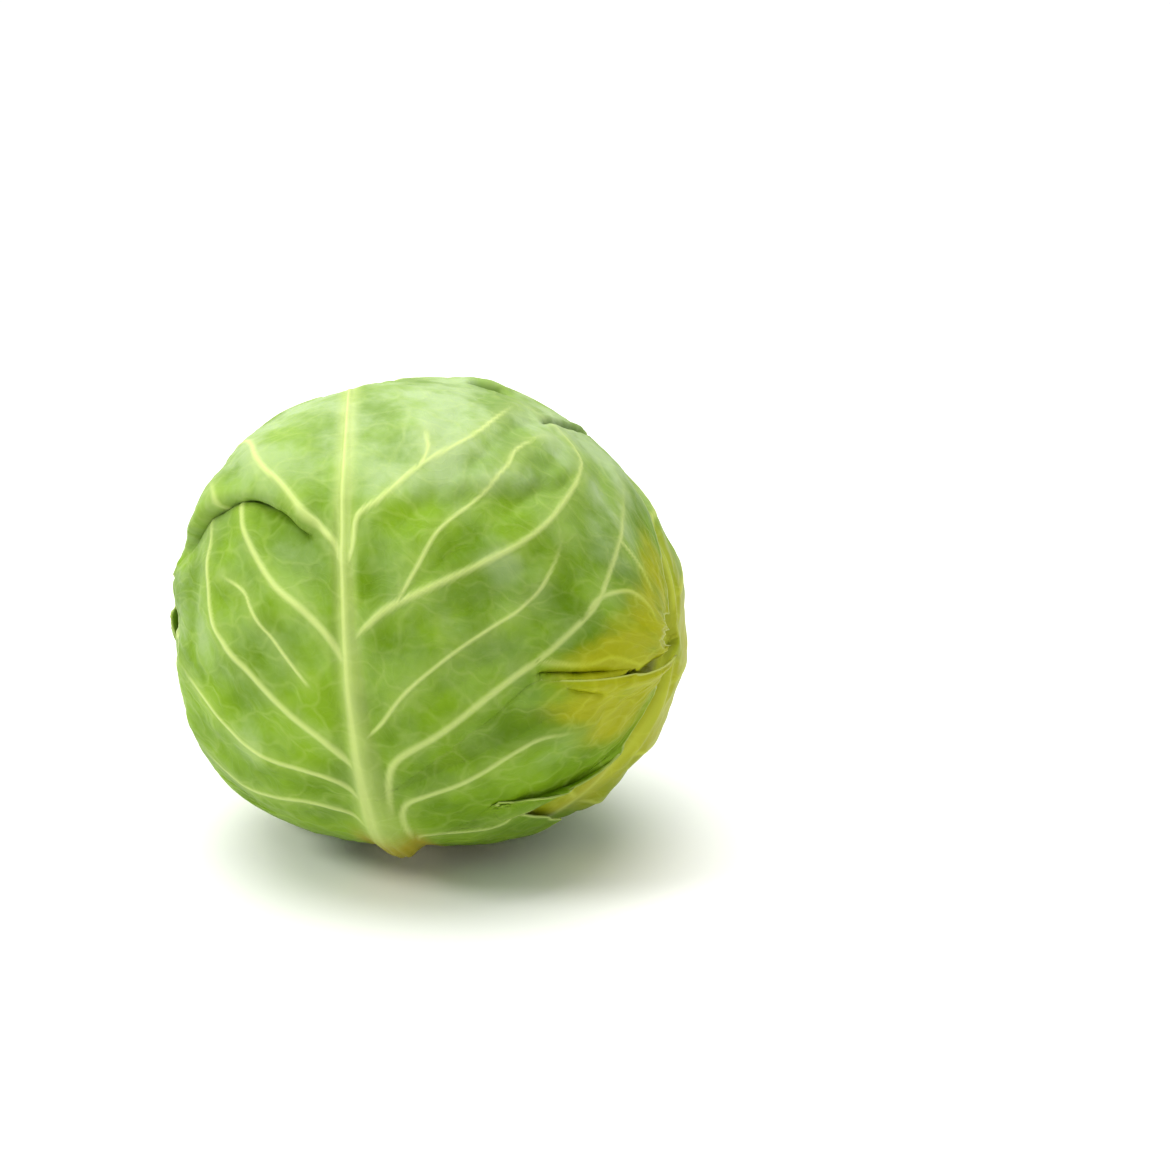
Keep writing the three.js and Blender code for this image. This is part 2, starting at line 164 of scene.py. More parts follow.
def skin_radius(direction):
    """How far the outer skin is from the head's centre."""
    polar = np.arccos(np.clip(-direction[..., 2], -1, 1))
    radius = HEAD_RADIUS - BASE_FLATTENING * bell(polar / BASE_SPREAD)
    radius = radius - CROWN_FLATTENING * bell((math.pi - polar) / CROWN_SPREAD)
    in_part = direction @ HEAD_TURN.T
    for towards, height, spread in SWELLINGS:
        towards = np.array(towards) / np.linalg.norm(towards)
        angle = np.arccos(np.clip(in_part @ towards, -1, 1))
        radius = radius + height * bell(angle / spread)
    return np.minimum(radius, floor_radius(direction))


def in_part(places):
    """Places in the part's frame, in metres, from places in the head's frame, in millimetres."""
    return (places @ HEAD_TURN.T + HEAD_CENTRE) * MM


def to_part(direction, radius):
    """The same from directions and distances from the head's centre."""
    return in_part(direction * radius[..., None])


print("skin at the stalk, the front and the crown:",
      [round(float(skin_radius(np.array(d, float))), 1)
       for d in [(0, 0, -1), (0, -1, 0), (0, 0, 1)]])

# %% [markdown]
# ## Leaf coordinates
# On a real leaf one would say "so far up the midrib, so far out to the side". The same two
# numbers, in millimetres, place everything here: veins, pleats, tears and colours. They are
# wrapped round the head from the stalk's pole, and the midrib may bend a little on the way.

# %% Leaf coordinates
def midrib_shift(leaf, along):
    start, total = leaf["bend"]
    return start + total * ((along - 30) / 190) ** 2


def leaf_direction(leaf, along, across):
    """Directions from the head's centre for places on a leaf."""
    azimuth = leaf["azimuth"] * DEGREE
    forward = along / HEAD_RADIUS
    sideways = (across + midrib_shift(leaf, along)) / HEAD_RADIUS
    out = np.array([math.sin(azimuth), -math.cos(azimuth), 0])
    side = np.array([math.cos(azimuth), math.sin(azimuth), 0])
    ahead = out * np.sin(forward)[..., None] - np.array([0, 0, 1]) * np.cos(forward)[..., None]
    return ahead * np.cos(sideways)[..., None] + side * np.sin(sideways)[..., None]


def leaf_coordinates(leaf, direction):
    """The way back: along and across, for directions from the head's centre."""
    azimuth = leaf["azimuth"] * DEGREE
    outward = direction[..., 0] * math.sin(azimuth) - direction[..., 1] * math.cos(azimuth)
    sideways = direction[..., 0] * math.cos(azimuth) + direction[..., 1] * math.sin(azimuth)
    forward = np.arctan2(outward, -direction[..., 2])
    forward = np.where(forward < -math.pi / 2, forward + 2 * math.pi, forward)
    along = HEAD_RADIUS * forward
    return along, HEAD_RADIUS * np.arcsin(np.clip(sideways, -1, 1)) - midrib_shift(leaf, along)


straight = dict(azimuth=0, bend=(0, 0))
there = leaf_direction(straight, np.array(120.0), np.array(40.0))
print("120 up and 40 across is the direction", there.round(3),
      "and back:", [round(float(x), 3) for x in leaf_coordinates(straight, there)])

# %% [markdown]
# ## The wrapper leaves' outlines
# Each blade is an oval, and its outline is given as a share of that oval by the angle round the
# middle of the blade. A tear is simply a place where the share drops. The front leaf is torn
# twice on its right side, as a leaf is that has dried a little in transport. Listing the leaves
# as plain data keeps them easy to change. Short waves on top of the outline make the edge ragged.

# %% The six leaves
WRAPPER_LEAVES = [
    dict(name="wrapper_leaf_1", azimuth=-17, middle=125, half_length=115, half_width=(92, 118),
         bend=(4, -26),
         reach=([(-72, 1.04), (-58, 0.98), (-40, 1.06), (-18, 0.97), (4, 1.0), (30, 1.08), (90, 1.08)],
                [(-72, 1.2), (-66, 1.14), (-62.5, 0.98), (-59, 0.62), (-54, 0.68), (-49, 0.82),
                 (-43, 1.02), (-34, 1.1), (-16, 1.08), (-10.5, 0.84), (-8.2, 0.5), (-6, 0.8),
                 (-1, 1.06), (6, 1.06), (20, 1.16), (38, 1.42), (52, 1.62), (62, 1.6), (72, 1.34),
                 (90, 1.1)]),
         untorn=([(-72, 1.04), (-40, 1.04), (4, 1.0), (90, 1.08)],
                 [(-72, 1.16), (-30, 1.08), (10, 1.08), (38, 1.4), (56, 1.6), (90, 1.1)]),
         lift=([(-30, 14, 1.5), (14, 16, 1.5)], [(-50, 6, 3.5), (-13, 4, 2.5), (70, 12, 2.5)])),
    dict(name="wrapper_leaf_2", azimuth=-170, middle=122, half_length=108, half_width=(106, 100),
         bend=(0, 14),
         reach=([(-72, 1.18), (-45, 1.06), (-12, 0.97), (18, 1.05), (50, 0.98), (90, 1.06)],
                [(-72, 1.18), (-50, 1.04), (-25, 0.96), (5, 1.03), (35, 0.95), (60, 1.04), (90, 1.06)]),
         lift=([(-20, 16, 2.5), (40, 12, 2)], [(0, 14, 3), (45, 16, 2)])),
    dict(name="wrapper_leaf_3", azimuth=68, middle=124, half_length=110, half_width=(96, 108),
         bend=(0, 10),
         reach=([(-72, 1.12), (-52, 1.05), (-30, 1.0), (0, 1.04), (35, 0.97), (90, 1.08)],
                [(-72, 1.12), (-40, 1.05), (-10, 0.96), (25, 1.05), (60, 0.97), (90, 1.08)]),
         lift=([(-56, 12, 2), (-20, 14, 2)], [(10, 18, 2.5), (62, 14, 2)])),
    dict(name="wrapper_leaf_4", azimuth=-69.5, middle=120, half_length=106, half_width=(104, 98),
         bend=(0, -8),
         reach=([(-72, 1.12), (-40, 1.03), (0, 0.96), (40, 1.04), (90, 1.06)],
                [(-72, 1.12), (-30, 1.04), (10, 0.98), (50, 1.03), (90, 1.06)]),
         lift=([(-35, 14, 2.5), (25, 18, 2.5)], [(40, 14, 1.5)])),
    dict(name="wrapper_leaf_5", azimuth=135, middle=122, half_length=108, half_width=(86, 102),
         bend=(0, 12),
         reach=([(-72, 1.12), (-35, 1.04), (5, 0.97), (45, 1.03), (90, 1.04)],
                [(-72, 1.12), (-45, 1.02), (-5, 1.04), (30, 0.96), (90, 1.04)]),
         lift=([(0, 16, 2)], [(20, 16, 2)])),
    dict(name="wrapper_leaf_6", azimuth=15.5, middle=124, half_length=110, half_width=(98, 96),
         bend=(0, -10),
         reach=([(-72, 1.12), (-30, 1.03), (20, 0.98), (90, 1.04)],
                [(-72, 1.12), (-40, 0.98), (0, 1.03), (90, 1.04)]),
         lift=([(50, 16, 1.5)], [(55, 16, 2)])),
]
EDGE_WAVES = [(44, 0.02), (27, 0.014), (11, 0.007), (6.3, 0.005), (3.1, 0.003),
              (1.7, 0.0016)]  # degrees a wave, share of the reach
SIDE_PHASES = (1, 2.3)  # so that a leaf's left and right edges differ


def edge_point(leaf, side, angle):
    """Along and across, without its sign, of the outline; side is 0 for left and 1 for right."""
    phase = leaf["azimuth"] * SIDE_PHASES[side]
    reach = through(leaf["reach"][side], angle)
    for wave, share in EDGE_WAVES:
        reach = reach + share * np.sin((360 * angle / wave + 5 * phase) * DEGREE)
    return (leaf["middle"] + leaf["half_length"] * reach * np.sin(angle * DEGREE),
            leaf["half_width"][side] * reach * np.cos(angle * DEGREE))


for leaf in WRAPPER_LEAVES:
    print(leaf["name"], "is about", round(sum(leaf["half_width"])), "mm wide and",
          round(2 * leaf["half_length"]), "mm long")

# %% [markdown]
# ## Shingles
# Where two leaves overlap, the inner one lies a step deeper. Collision or cloth simulation could
# settle that, but it would drift from the solids. Instead each leaf sinks by one step for every
# leaf further out that covers it, and comes up again beyond that leaf's edge.

# %% How far one leaf covers another
COVER_MARGIN, COVER_FADE = 5.0, 20.0


def inside_edge(leaf, direction):
    """How many millimetres a direction is inside a leaf's outline, tears ignored."""
    along, across = leaf_coordinates(leaf, direction)
    untorn = leaf.get("untorn", leaf["reach"])
    y = (along - leaf["middle"]) / leaf["half_length"]
    inside = np.zeros(along.shape)
    for side, here in ((0, across < 0), (1, across >= 0)):
        width = leaf["half_width"][side]
        x = np.abs(across) / width
        reach = through(untorn[side], np.arctan2(y, x) / DEGREE)
        inside = np.where(here, (reach - np.hypot(x, y)) * 0.5 * (leaf["half_length"] + width), inside)
    return inside


def cover(leaf, direction):
    return smooth(-COVER_MARGIN - COVER_FADE, -COVER_MARGIN, inside_edge(leaf, direction))


crown = np.array([0, 0, 1.0])
print("leaves that cover the crown:",
      [leaf["name"] for leaf in WRAPPER_LEAVES if cover(leaf, crown) > 0.5])

# %% [markdown]
# ## Pleat, slits, tear and steps
# The front leaf folds over itself at the upper left: its upper part rides over the lower part,
# with a rounded lip and a dark crease under it. A bump map would show no overhang. So the sheet
# is lifted there, and its lip is also pulled down over the crease, by moving its points along
# the leaf. Two narrow slits near the crown and one at the right are plain hollows, the tear is
# a hollow with a raised lower rim, and soft steps cross the blade where it has been bent.

# %% Pleat, slits, tear and steps
PLEATS = [  # crest along and across, curve left and right, window across, what is left beyond it
    dict(crest=185, across=-45, curve=(0.012, 0.019), window=(-7, -15, -60, -84), rest=0.1,
         lift=5.8, pull=8.0, dent=4.6, tail=17),
]
SLITS = [  # along and across, slope, window across, depth, width, height of the far rim
    dict(along=263, across=51, slope=0.1, window=(42, 47, 55, 61), depth=4.0, width=2.2, rim=0.3),
    dict(along=256, across=79, slope=1.6, window=(68, 74, 88, 95), depth=5.0, width=2.4, rim=0.9),
    dict(along=107, across=76, slope=-0.55, window=(68, 72, 80, 86), depth=2.2, width=2.0, rim=0.4),
]
TEARS = [  # along and across of the inner end, slope, window across, height of the lower rim, dip
    dict(along=117, across=58.4, slope=-0.158, window=(57, 66, 84, 100), lip=2.8, dip=3.2, fade=9.0),
]
SHELVES = [  # soft steps: across and along of the foot, window across, height, how far it runs out
    dict(foot=[(4, 168), (19, 173), (32, 178), (42, 184), (56, 188), (70, 200), (83, 219)],
         window=(8, 26, 66, 88), height=1.5, tail=24),
    dict(foot=[(-70, 120), (-40, 126), (-20, 131), (-8, 136)],
         window=(-64, -44, -22, -8), height=1.1, tail=20),
    dict(foot=[(8, 126), (30, 140), (60, 150), (90, 165)],
         window=(14, 30, 60, 84), height=0.9, tail=16),
]


def window(edges, x):
    """Rises from 0 to 1 between the first two edges and falls again between the last two."""
    a, b, c, d = edges
    return smooth(a, b, x) * (1 - smooth(c, d, x))


def above_pleat(pleat, along, across):
    """How far above a pleat's curved crest a place is, and how strong the pleat is there."""
    off = across - pleat["across"]
    bend = np.where(off < 0, pleat["curve"][0], pleat["curve"][1])
    rise, full, fall, end = pleat["window"]
    strength = smooth(rise, full, across) * (1 - (1 - pleat["rest"]) * smooth(fall, end, across))
    return along - (pleat["crest"] - bend * off * off), strength * (0.5 + 0.5 * smooth(-12, -36, across))


def above_line(cut, along, across):
    """How far above a slit's or a tear's straight line a place is."""
    return along - cut["along"] - cut["slope"] * (across - cut["across"])


def dents(along, across):
    """Depth of the creases, in the front leaf's coordinates."""
    depth = np.zeros(along.shape)
    for pleat in PLEATS:
        above, strength = above_pleat(pleat, along, across)
        depth = depth + strength * pleat["dent"] * bell((above + 2.5) / 4.5)
    for slit in SLITS:
        depth = depth + window(slit["window"], across) * slit["depth"] * bell(
            above_line(slit, along, across) / slit["width"])
    for tear in TEARS:
        depth = depth + window(tear["window"], across) * tear["dip"] * bell(
            (above_line(tear, along, across) - 1) / 3.5)
    return depth


def pleat_moves(leaf, along, across):
    """The lift and the pull towards the stalk of each point of the front leaf."""
    lift, pull = np.zeros(along.shape), np.zeros(along.shape)
    if leaf["name"] != "wrapper_leaf_1":
        return lift, pull
    lift = lift - dents(along, across)
    for pleat in PLEATS:
        above, strength = above_pleat(pleat, along, across)
        lip = smooth(-0.5, 3.0, above) * np.exp(-np.maximum(above - 3, 0) / pleat["tail"])
        lift = lift + strength * pleat["lift"] * lip
        shove = smooth(-1.5, 3.0, above) * np.exp(-np.maximum(above - 3, 0) / 9)
        pull = pull + strength * (1 - smooth(*pleat["window"][2:], across)) * pleat["pull"] * shove
    for slit in SLITS:
        above = above_line(slit, along, across)
        rims = bell((above + 2 * slit["width"]) / (1.5 * slit["width"])) * 0.4 * slit["depth"] / 5
        rims = rims + bell((above - 2.2 * slit["width"]) / (1.5 * slit["width"])) * slit["rim"]
        lift = lift + window(slit["window"], across) * rims
    for tear in TEARS:
        above = above_line(tear, along, across)
        rim = smooth(0.8, -0.8, above) * np.exp(np.minimum(above, 0) / tear["fade"])
        lift = lift + window(tear["window"], across) * tear["lip"] * rim
    for shelf in SHELVES:
        above = along - through(shelf["foot"], across)
        step = smooth(-3, 5, above) * np.exp(-np.maximum(above - 5, 0) / shelf["tail"])
        foot = 0.35 * bell((above + 4) / 6)
        lift = lift + window(shelf["window"], across) * shelf["height"] * (step - foot)
    return lift, pull


everywhere = np.meshgrid(np.arange(80.0, 300), np.arange(-90.0, 110))
print("deepest crease:", dents(*everywhere).max().round(1), "mm")

# %% [markdown]
# Every layer under the front leaf is pressed in as deep as its creases, which keeps them open
# and dark instead of filled by the next leaf.

# %% Layers
LAYER_STEP = 2.5


def under_leaves(leaves, direction):
    """How deep the leaves further out press a layer down, and how free it is, 0 to 1."""
    if not leaves:
        return np.zeros(direction.shape[:-1]), np.ones(direction.shape[:-1])
    covers = [cover(leaf, direction) for leaf in leaves]
    creases = dents(*leaf_coordinates(WRAPPER_LEAVES[0], direction))
    return LAYER_STEP * sum(covers) + creases, 1 - np.max(covers, axis=0)


print("under all leaves the heart's front lies",
      round(float(under_leaves(WRAPPER_LEAVES, np.array([0, -1.0, 0]))[0]), 1), "mm deeper")

# %% [markdown]
# ## A leaf's sheet
# The blade is a grid: rows run from the midrib out to the edge, spaced evenly along the edge so
# that a tear gets as many as it needs. The outer face is fine enough for the veins. The inner
# face hardly shows, so it takes every fourth point, and a strip of triangles closes the rim.

# %% The sheet's grid
LEAF_THICKNESS = 0.65
LOWEST_ANGLE, HIGHEST_ANGLE = -72.0, 82.0
BASE_RING = 15.8  # mm from the head's axis to where a leaf leaves the stalk
RUFFLE_WAVE, RUFFLE_HEIGHT = 30.0, 1.2  # degrees a wave, mm
EDGE_CURL, CURL_WIDTH = 0.5, 3.5  # mm
INNER_EVERY = 4


def midrib_width(along):
    width = 0.8 + 7.5 * np.exp(-(along - 50) / 55)
    return np.minimum(width, 7.0) * (0.8 + 0.2 * smooth(17, 40, along))


def midrib_height(along):
    return 4.6 * np.exp(-np.maximum(along - 20, 0) / 70) + 0.4


def root_share(share):
    """Where on the midrib a row starts, so that the rows run up and out as side ribs do."""
    return share * (1.1 - 2.2 * share + 2.1 * share * share)


def row_angles(leaf, rows):
    """Angles whose places on the outline are evenly spaced, tears included."""
    angles = np.linspace(LOWEST_ANGLE, HIGHEST_ANGLE, 6000)
    steps = []
    for side in (0, 1):
        along, across = edge_point(leaf, side, angles)
        steps.append(np.hypot(np.diff(along), np.diff(across)))
    length = np.concatenate([[0], np.cumsum(np.maximum(*steps))])
    return np.interp(np.linspace(0, length[-1], rows + 1), length, angles)


def edge_lift(leaf, side, angle, share):
    """How far the outer part of the blade stands away: set stretches and a gentle ruffle."""
    height = np.zeros(angle.shape)
    for at, width, mm in leaf["lift"][side]:
        height = np.maximum(height, mm * bell((angle - at) / width))
    wave = 0.5 + 0.5 * np.sin((360 * angle / RUFFLE_WAVE + 3 * leaf["azimuth"]) * DEGREE)
    return smooth(0.72, 1, share) * (height + RUFFLE_HEIGHT * wave)


def sheet_points(leaf, rank, rows, half_columns):
    """Arrays over the grid: along, across, direction, the sheet's radius, freedom, edge distance."""
    outer = WRAPPER_LEAVES[:rank]
    pole = HEAD_RADIUS - BASE_FLATTENING - LAYER_STEP * rank
    base = HEAD_RADIUS * math.asin(BASE_RING / pole)
    tip = float(edge_point(leaf, 0, np.array(HIGHEST_ANGLE))[0])
    angle = row_angles(leaf, rows)[:, None]
    up_blade = (angle - LOWEST_ANGLE) / (HIGHEST_ANGLE - LOWEST_ANGLE)
    root = base + (tip - base) * root_share(up_blade)
    share = np.linspace(-1, 1, 2 * half_columns + 1)[None, :]
    edge = [edge_point(leaf, side, angle) for side in (0, 1)]
    edge_along = np.where(share < 0, edge[0][0], edge[1][0])
    edge_across = np.where(share < 0, edge[0][1], edge[1][1])
    lift = np.where(share < 0, edge_lift(leaf, 0, angle, -share), edge_lift(leaf, 1, angle, share))
    along = root + (edge_along - root) * np.abs(share)
    across = edge_across * share
    to_edge = (1 - np.abs(share)) * np.hypot(edge_along - root, edge_across)
    to_end = 3 * np.minimum(np.abs(angle - LOWEST_ANGLE), np.abs(HIGHEST_ANGLE - angle))
    to_edge = np.minimum(to_edge, to_end + 20 * smooth(11, 7, np.abs(across)))
    fold_lift, fold_pull = pleat_moves(leaf, along, across)
    direction = leaf_direction(leaf, along - fold_pull, across)
    depth, free = under_leaves(outer, direction)
    curl = EDGE_CURL * smooth(CURL_WIDTH, 0, to_edge)
    radius = skin_radius(direction) - depth + free * (lift + curl) + fold_lift
    radius = np.minimum(radius, floor_radius(direction))
    return dict(along=along, across=across, direction=direction, radius=radius, free=free,
                to_edge=to_edge)


print("midrib half width at 30, 100 and 200 mm:",
      midrib_width(np.array([30.0, 100.0, 200.0])).round(1), "mm")

# %% [markdown]
# The next cell turns such a grid into a mesh and hangs the leaf coordinates on its points as an
# attribute. Everything drawn on the leaf later, in nodes or in a material, reads that attribute,
# so the pattern sits on the leaf however the leaf is bent.

# %% From grid to mesh
def new_mesh_object(name, vertices, faces):
    mesh = bpy.data.meshes.new(name)
    mesh.from_pydata([tuple(v) for v in vertices], [], faces)
    mesh.update()
    piece = bpy.data.objects.new(name, mesh)
    bpy.context.scene.collection.objects.link(piece)
    return piece


def point_attribute(piece, name, values, kind="FLOAT"):
    """Stores one number or one vector for each point of a mesh."""
    layer = piece.data.attributes.new(name, kind, "POINT")
    field = "value" if kind == "FLOAT" else "vector"
    layer.data.foreach_set(field, np.ascontiguousarray(values, dtype=np.float32).ravel())


def rows_of(collection, field):
    """The vectors of a mesh's points or of an attribute, one row each."""
    flat = np.empty(len(collection) * 3, dtype=np.float32)
    collection.foreach_get(field, flat)
    return flat.reshape(-1, 3)


def grid_loop(rows, columns):
    """Grid places round the edge, anticlockwise seen from outside."""
    loop = [(0, c) for c in range(columns - 1)]
    loop += [(r, columns - 1) for r in range(rows - 1)]
    loop += [(rows - 1, c) for c in range(columns - 1, 0, -1)]
    return loop + [(r, 0) for r in range(rows - 1, 0, -1)]


def leaf_mesh(leaf, rank, rows, half_columns):
    """One closed leaf: fine outer face, coarse inner face, and the rim between them."""
    sheet = sheet_points(leaf, rank, rows, half_columns)
    outside = to_part(sheet["direction"], sheet["radius"])
    inside = to_part(sheet["direction"], sheet["radius"] - LEAF_THICKNESS)[::INNER_EVERY, ::INNER_EVERY]
    n_rows, n_columns = outside.shape[:2]
    k_rows, k_columns = inside.shape[:2]
    first_inner = n_rows * n_columns
    faces = []
    for r in range(n_rows - 1):
        at = r * n_columns
        faces += [(at + c, at + c + 1, at + n_columns + c + 1, at + n_columns + c)
                  for c in range(n_columns - 1)]
    for r in range(k_rows - 1):
        at = first_inner + r * k_columns
        faces += [(at + c, at + k_columns + c, at + k_columns + c + 1, at + c + 1)
                  for c in range(k_columns - 1)]
    half = INNER_EVERY // 2
    fine = [r * n_columns + c for r, c in grid_loop(n_rows, n_columns)]
    coarse = [first_inner + r * k_columns + c for r, c in grid_loop(k_rows, k_columns)]
    for i, near in enumerate(coarse):
        after = coarse[(i + 1) % len(coarse)]
        run = [fine[(i * INNER_EVERY + k) % len(fine)] for k in range(INNER_EVERY + 1)]
        faces += [(run[k + 1], run[k], near) for k in range(half)]
        faces += [(near, after, run[half])]
        faces += [(run[k + 1], run[k], after) for k in range(half, INNER_EVERY)]
    vertices = np.concatenate([outside.reshape(-1, 3), inside.reshape(-1, 3)])
    piece = new_mesh_object(leaf["name"] + "_blade", vertices, faces)
    thin = (slice(None, None, INNER_EVERY), slice(None, None, INNER_EVERY))

    def both(name, values):
        point_attribute(piece, name, np.concatenate([values.ravel(), values[thin].ravel()]))

    leaf_mm = np.stack([sheet["along"], sheet["across"], np.zeros_like(sheet["along"])], -1)
    leaf_mm = np.concatenate([leaf_mm.reshape(-1, 3), leaf_mm[thin].reshape(-1, 3)])
    point_attribute(piece, "leaf_mm", leaf_mm, "FLOAT_VECTOR")
    both("edge_mm", sheet["to_edge"])
    free = sheet["free"] * smooth(0, 6, sheet["to_edge"])
    point_attribute(piece, "raise", np.concatenate([free.ravel(), np.zeros(k_rows * k_columns)]))
    both("rib_share", np.abs(sheet["across"]) / midrib_width(sheet["along"]))
    blunt = np.sqrt(np.clip(1 - ((27 - np.minimum(sheet["along"], 27)) / 11) ** 2, 0, 1))
    both("rib_height", midrib_height(sheet["along"]) * blunt * MM)
    piece.data.shade_smooth()
    return piece


print("a grid of 5 rows of 9 points has", len(grid_loop(5, 9)), "points round its edge")

# %% [markdown]
# ## Veins as paths
# A cabbage leaf's side ribs leave the midrib at a sharp angle, run up and out, and branch. They
# are drawn as paths in leaf coordinates. For the front leaf the paths follow what a close look
# at such a leaf shows. The other leaves get theirs by a rule, with a fixed seed for its jitter.

# %% The front leaf's veins
FRONT_VEINS = [  # (half width at the root, at the tip), then points along and across
    ((2.3, 1.3), [(143, 0), (157, -2), (163, -7), (169, -12), (175, -16), (183, -22), (190, -28),
                  (199, -33), (209, -36), (228, -43), (245, -56)]),
    ((2.3, 1.5), [(116, 0), (127, -5), (135, -13), (143, -24), (153, -32), (165, -38), (177, -41),
                  (200, -56)]),
    ((2.4, 1.4), [(78, 0), (89, -7), (94, -12), (99, -20), (105, -29), (112, -38), (119, -48), (129, -54),
                  (142, -57), (155, -58), (169, -56), (185, -57)]),
    ((2.3, 0.9), [(66, -1), (77, -10), (80, -20), (80, -33), (82, -43), (87, -53), (92, -63), (99, -82)]),
    ((2.2, 0.9), [(52, -2), (62, -11), (64, -24), (60, -37), (56, -50), (57, -60), (62, -78)]),
    ((1.1, 0.8), [(112, -15), (123, -25), (134, -34), (141, -38), (147, -49)]),
    ((2.2, 0.9), [(148, 0), (158, 3), (168, 5), (175, 13), (190, 27), (205, 41), (221, 50), (244, 60)]),
    ((1.1, 0.8), [(187, 25), (196, 28), (206, 27)]),
    ((1.4, 0.7), [(141, 17), (153, 24), (166, 31), (180, 43), (198, 54), (209, 58), (228, 70)]),
    ((2.5, 1.0), [(127, 0), (133, 7), (139, 14), (147, 28), (158, 45), (170, 59), (185, 70), (205, 79),
                  (220, 83), (233, 83), (243, 75), (252, 60)]),
    ((1.4, 0.7), [(94, 1), (101, 8), (112, 17), (124, 31), (136, 47), (144, 57), (157, 66), (169, 71),
                  (180, 74)]),
    ((2.5, 1.3), [(52, 4), (64, 5), (73, 6), (82, 8), (87, 10.5), (91, 15), (99, 28), (109, 41), (118, 53),
                  (129, 67), (144, 80), (163, 90), (199, 100), (217, 103), (248, 106)]),
    ((2.3, 1.1), [(42, 8), (52, 8), (58, 8), (64, 9), (69, 12), (72, 18), (77, 32), (85, 49), (88, 60),
                  (84, 74)]),
    ((1.8, 1.0), [(38, 9), (46, 11), (48, 17), (46, 26), (44, 36), (47, 48), (40, 60)]),
    ((1.6, 0.8), [(144, 80), (154, 85), (164, 95), (172, 106), (168, 116), (140, 119), (110, 118)]),
    ((1.1, 0.7), [(199, 100), (196, 112), (187, 120)]),
    ((1.1, 0.7), [(124, 61), (121, 80), (123, 92), (113, 103), (96, 110)]),
]
print(len(FRONT_VEINS), "veins drawn on the front leaf")


def bezier_points(start, control, end, count=9):
    u = np.linspace(0, 1, count)[:, None]
    return ((1 - u) ** 2 * start + 2 * u * (1 - u) * control + u * u * end).tolist()


def pinnate_veins(leaf, seed):
    """Side ribs for a leaf by rule: each curves up and out, and finer veins fork off it."""
    rng = np.random.default_rng(seed)
    tip = float(edge_point(leaf, 0, np.array(HIGHEST_ANGLE))[0])
    veins = []
    for side, sign in ((0, -1), (1, 1)):
        for angle in (-60, -38, -17, 4, 25, 45, 63):
            angle = angle + rng.uniform(-5, 5) + 6 * side
            along, across = edge_point(leaf, side, np.array(float(angle)))
            share = (angle - LOWEST_ANGLE) / (HIGHEST_ANGLE - LOWEST_ANGLE)
            root = 22 + (tip - 22) * share * (0.35 + 0.45 * share) + rng.uniform(-4, 4)
            start = np.array([root, 0.0])
            end = np.array([float(along), sign * float(across)]) * 0.985
            control = np.array([root + rng.uniform(0.2, 0.42) * (end[0] - root),
                                rng.uniform(0.5, 0.66) * end[1]])
            points = bezier_points(start, control, end)
            wander = rng.uniform(-1.6, 1.6, (len(points), 2))
            wander[0] = 0
            points = (np.array(points) + wander).tolist()
            veins.append(((2.2, 0.8), points))
            for at in (3, 4, 5, 6):
                if rng.random() < 0.5:
                    continue
                ahead = np.array(points[at + 1]) - np.array(points[at - 1])
                ahead = ahead / np.linalg.norm(ahead)
                fork = rng.choice([-1, 1]) * rng.uniform(24, 40) * DEGREE
                aside = np.array([ahead[0] * math.cos(fork) - ahead[1] * math.sin(fork),
                                  ahead[0] * math.sin(fork) + ahead[1] * math.cos(fork)])
                stem, reach = np.array(points[at]), rng.uniform(12, 24)
                branch = bezier_points(stem - 4 * ahead, stem + 0.42 * reach * ahead, stem + reach * aside, 6)
                veins.append(((1.2, 0.8), branch))
    return veins


# %% [markdown]
# A path is stored as a mesh of short edges, pulled smooth by a spline through its points. Its
# half width and height are kept at every point, and so is how pale it shows, which fades out
# towards its tip.

# %% Paths on the leaf
VEIN_WIDTH = 0.78  # drawn widths are those of a close look; raised ones look wider


def spline(points, spacing=1.5):
    """A smooth line through points, with steps of about the given length."""
    p = np.array(points, float)
    p = np.concatenate([[2 * p[0] - p[1]], p, [2 * p[-1] - p[-2]]])
    line = []
    for i in range(1, len(p) - 2):
        count = max(2, int(np.linalg.norm(p[i + 1] - p[i]) / spacing))
        for u in np.linspace(0, 1, count, endpoint=False):
            line.append(0.5 * (2 * p[i] + (p[i + 1] - p[i - 1]) * u
                               + (2 * p[i - 1] - 5 * p[i] + 4 * p[i + 1] - p[i + 2]) * u ** 2
                               + (3 * p[i] - p[i - 1] - 3 * p[i + 1] + p[i + 2]) * u ** 3))
    return np.array(line + [p[-2]])


def vein_paths(name, lines):
    """One mesh of edges from lines of (places in metres, half widths and heights in mm, paleness)."""
    vertices, edges, widths, heights, shows = [], [], [], [], []
    for place, width, height, show in lines:
        first = len(vertices)
        vertices += place.tolist()
        edges += [(first + i, first + i + 1) for i in range(len(place) - 1)]
        widths += width.tolist()
        heights += height.tolist()
        shows += show.tolist()
    mesh = bpy.data.meshes.new(name)
    mesh.from_pydata(vertices, edges, [])
    paths = bpy.data.objects.new(name, mesh)
    bpy.context.scene.collection.objects.link(paths)
    point_attribute(paths, "half_width", np.array(widths) * MM)
    point_attribute(paths, "height", np.array(heights) * MM)
    point_attribute(paths, "show", np.array(shows))
    return paths


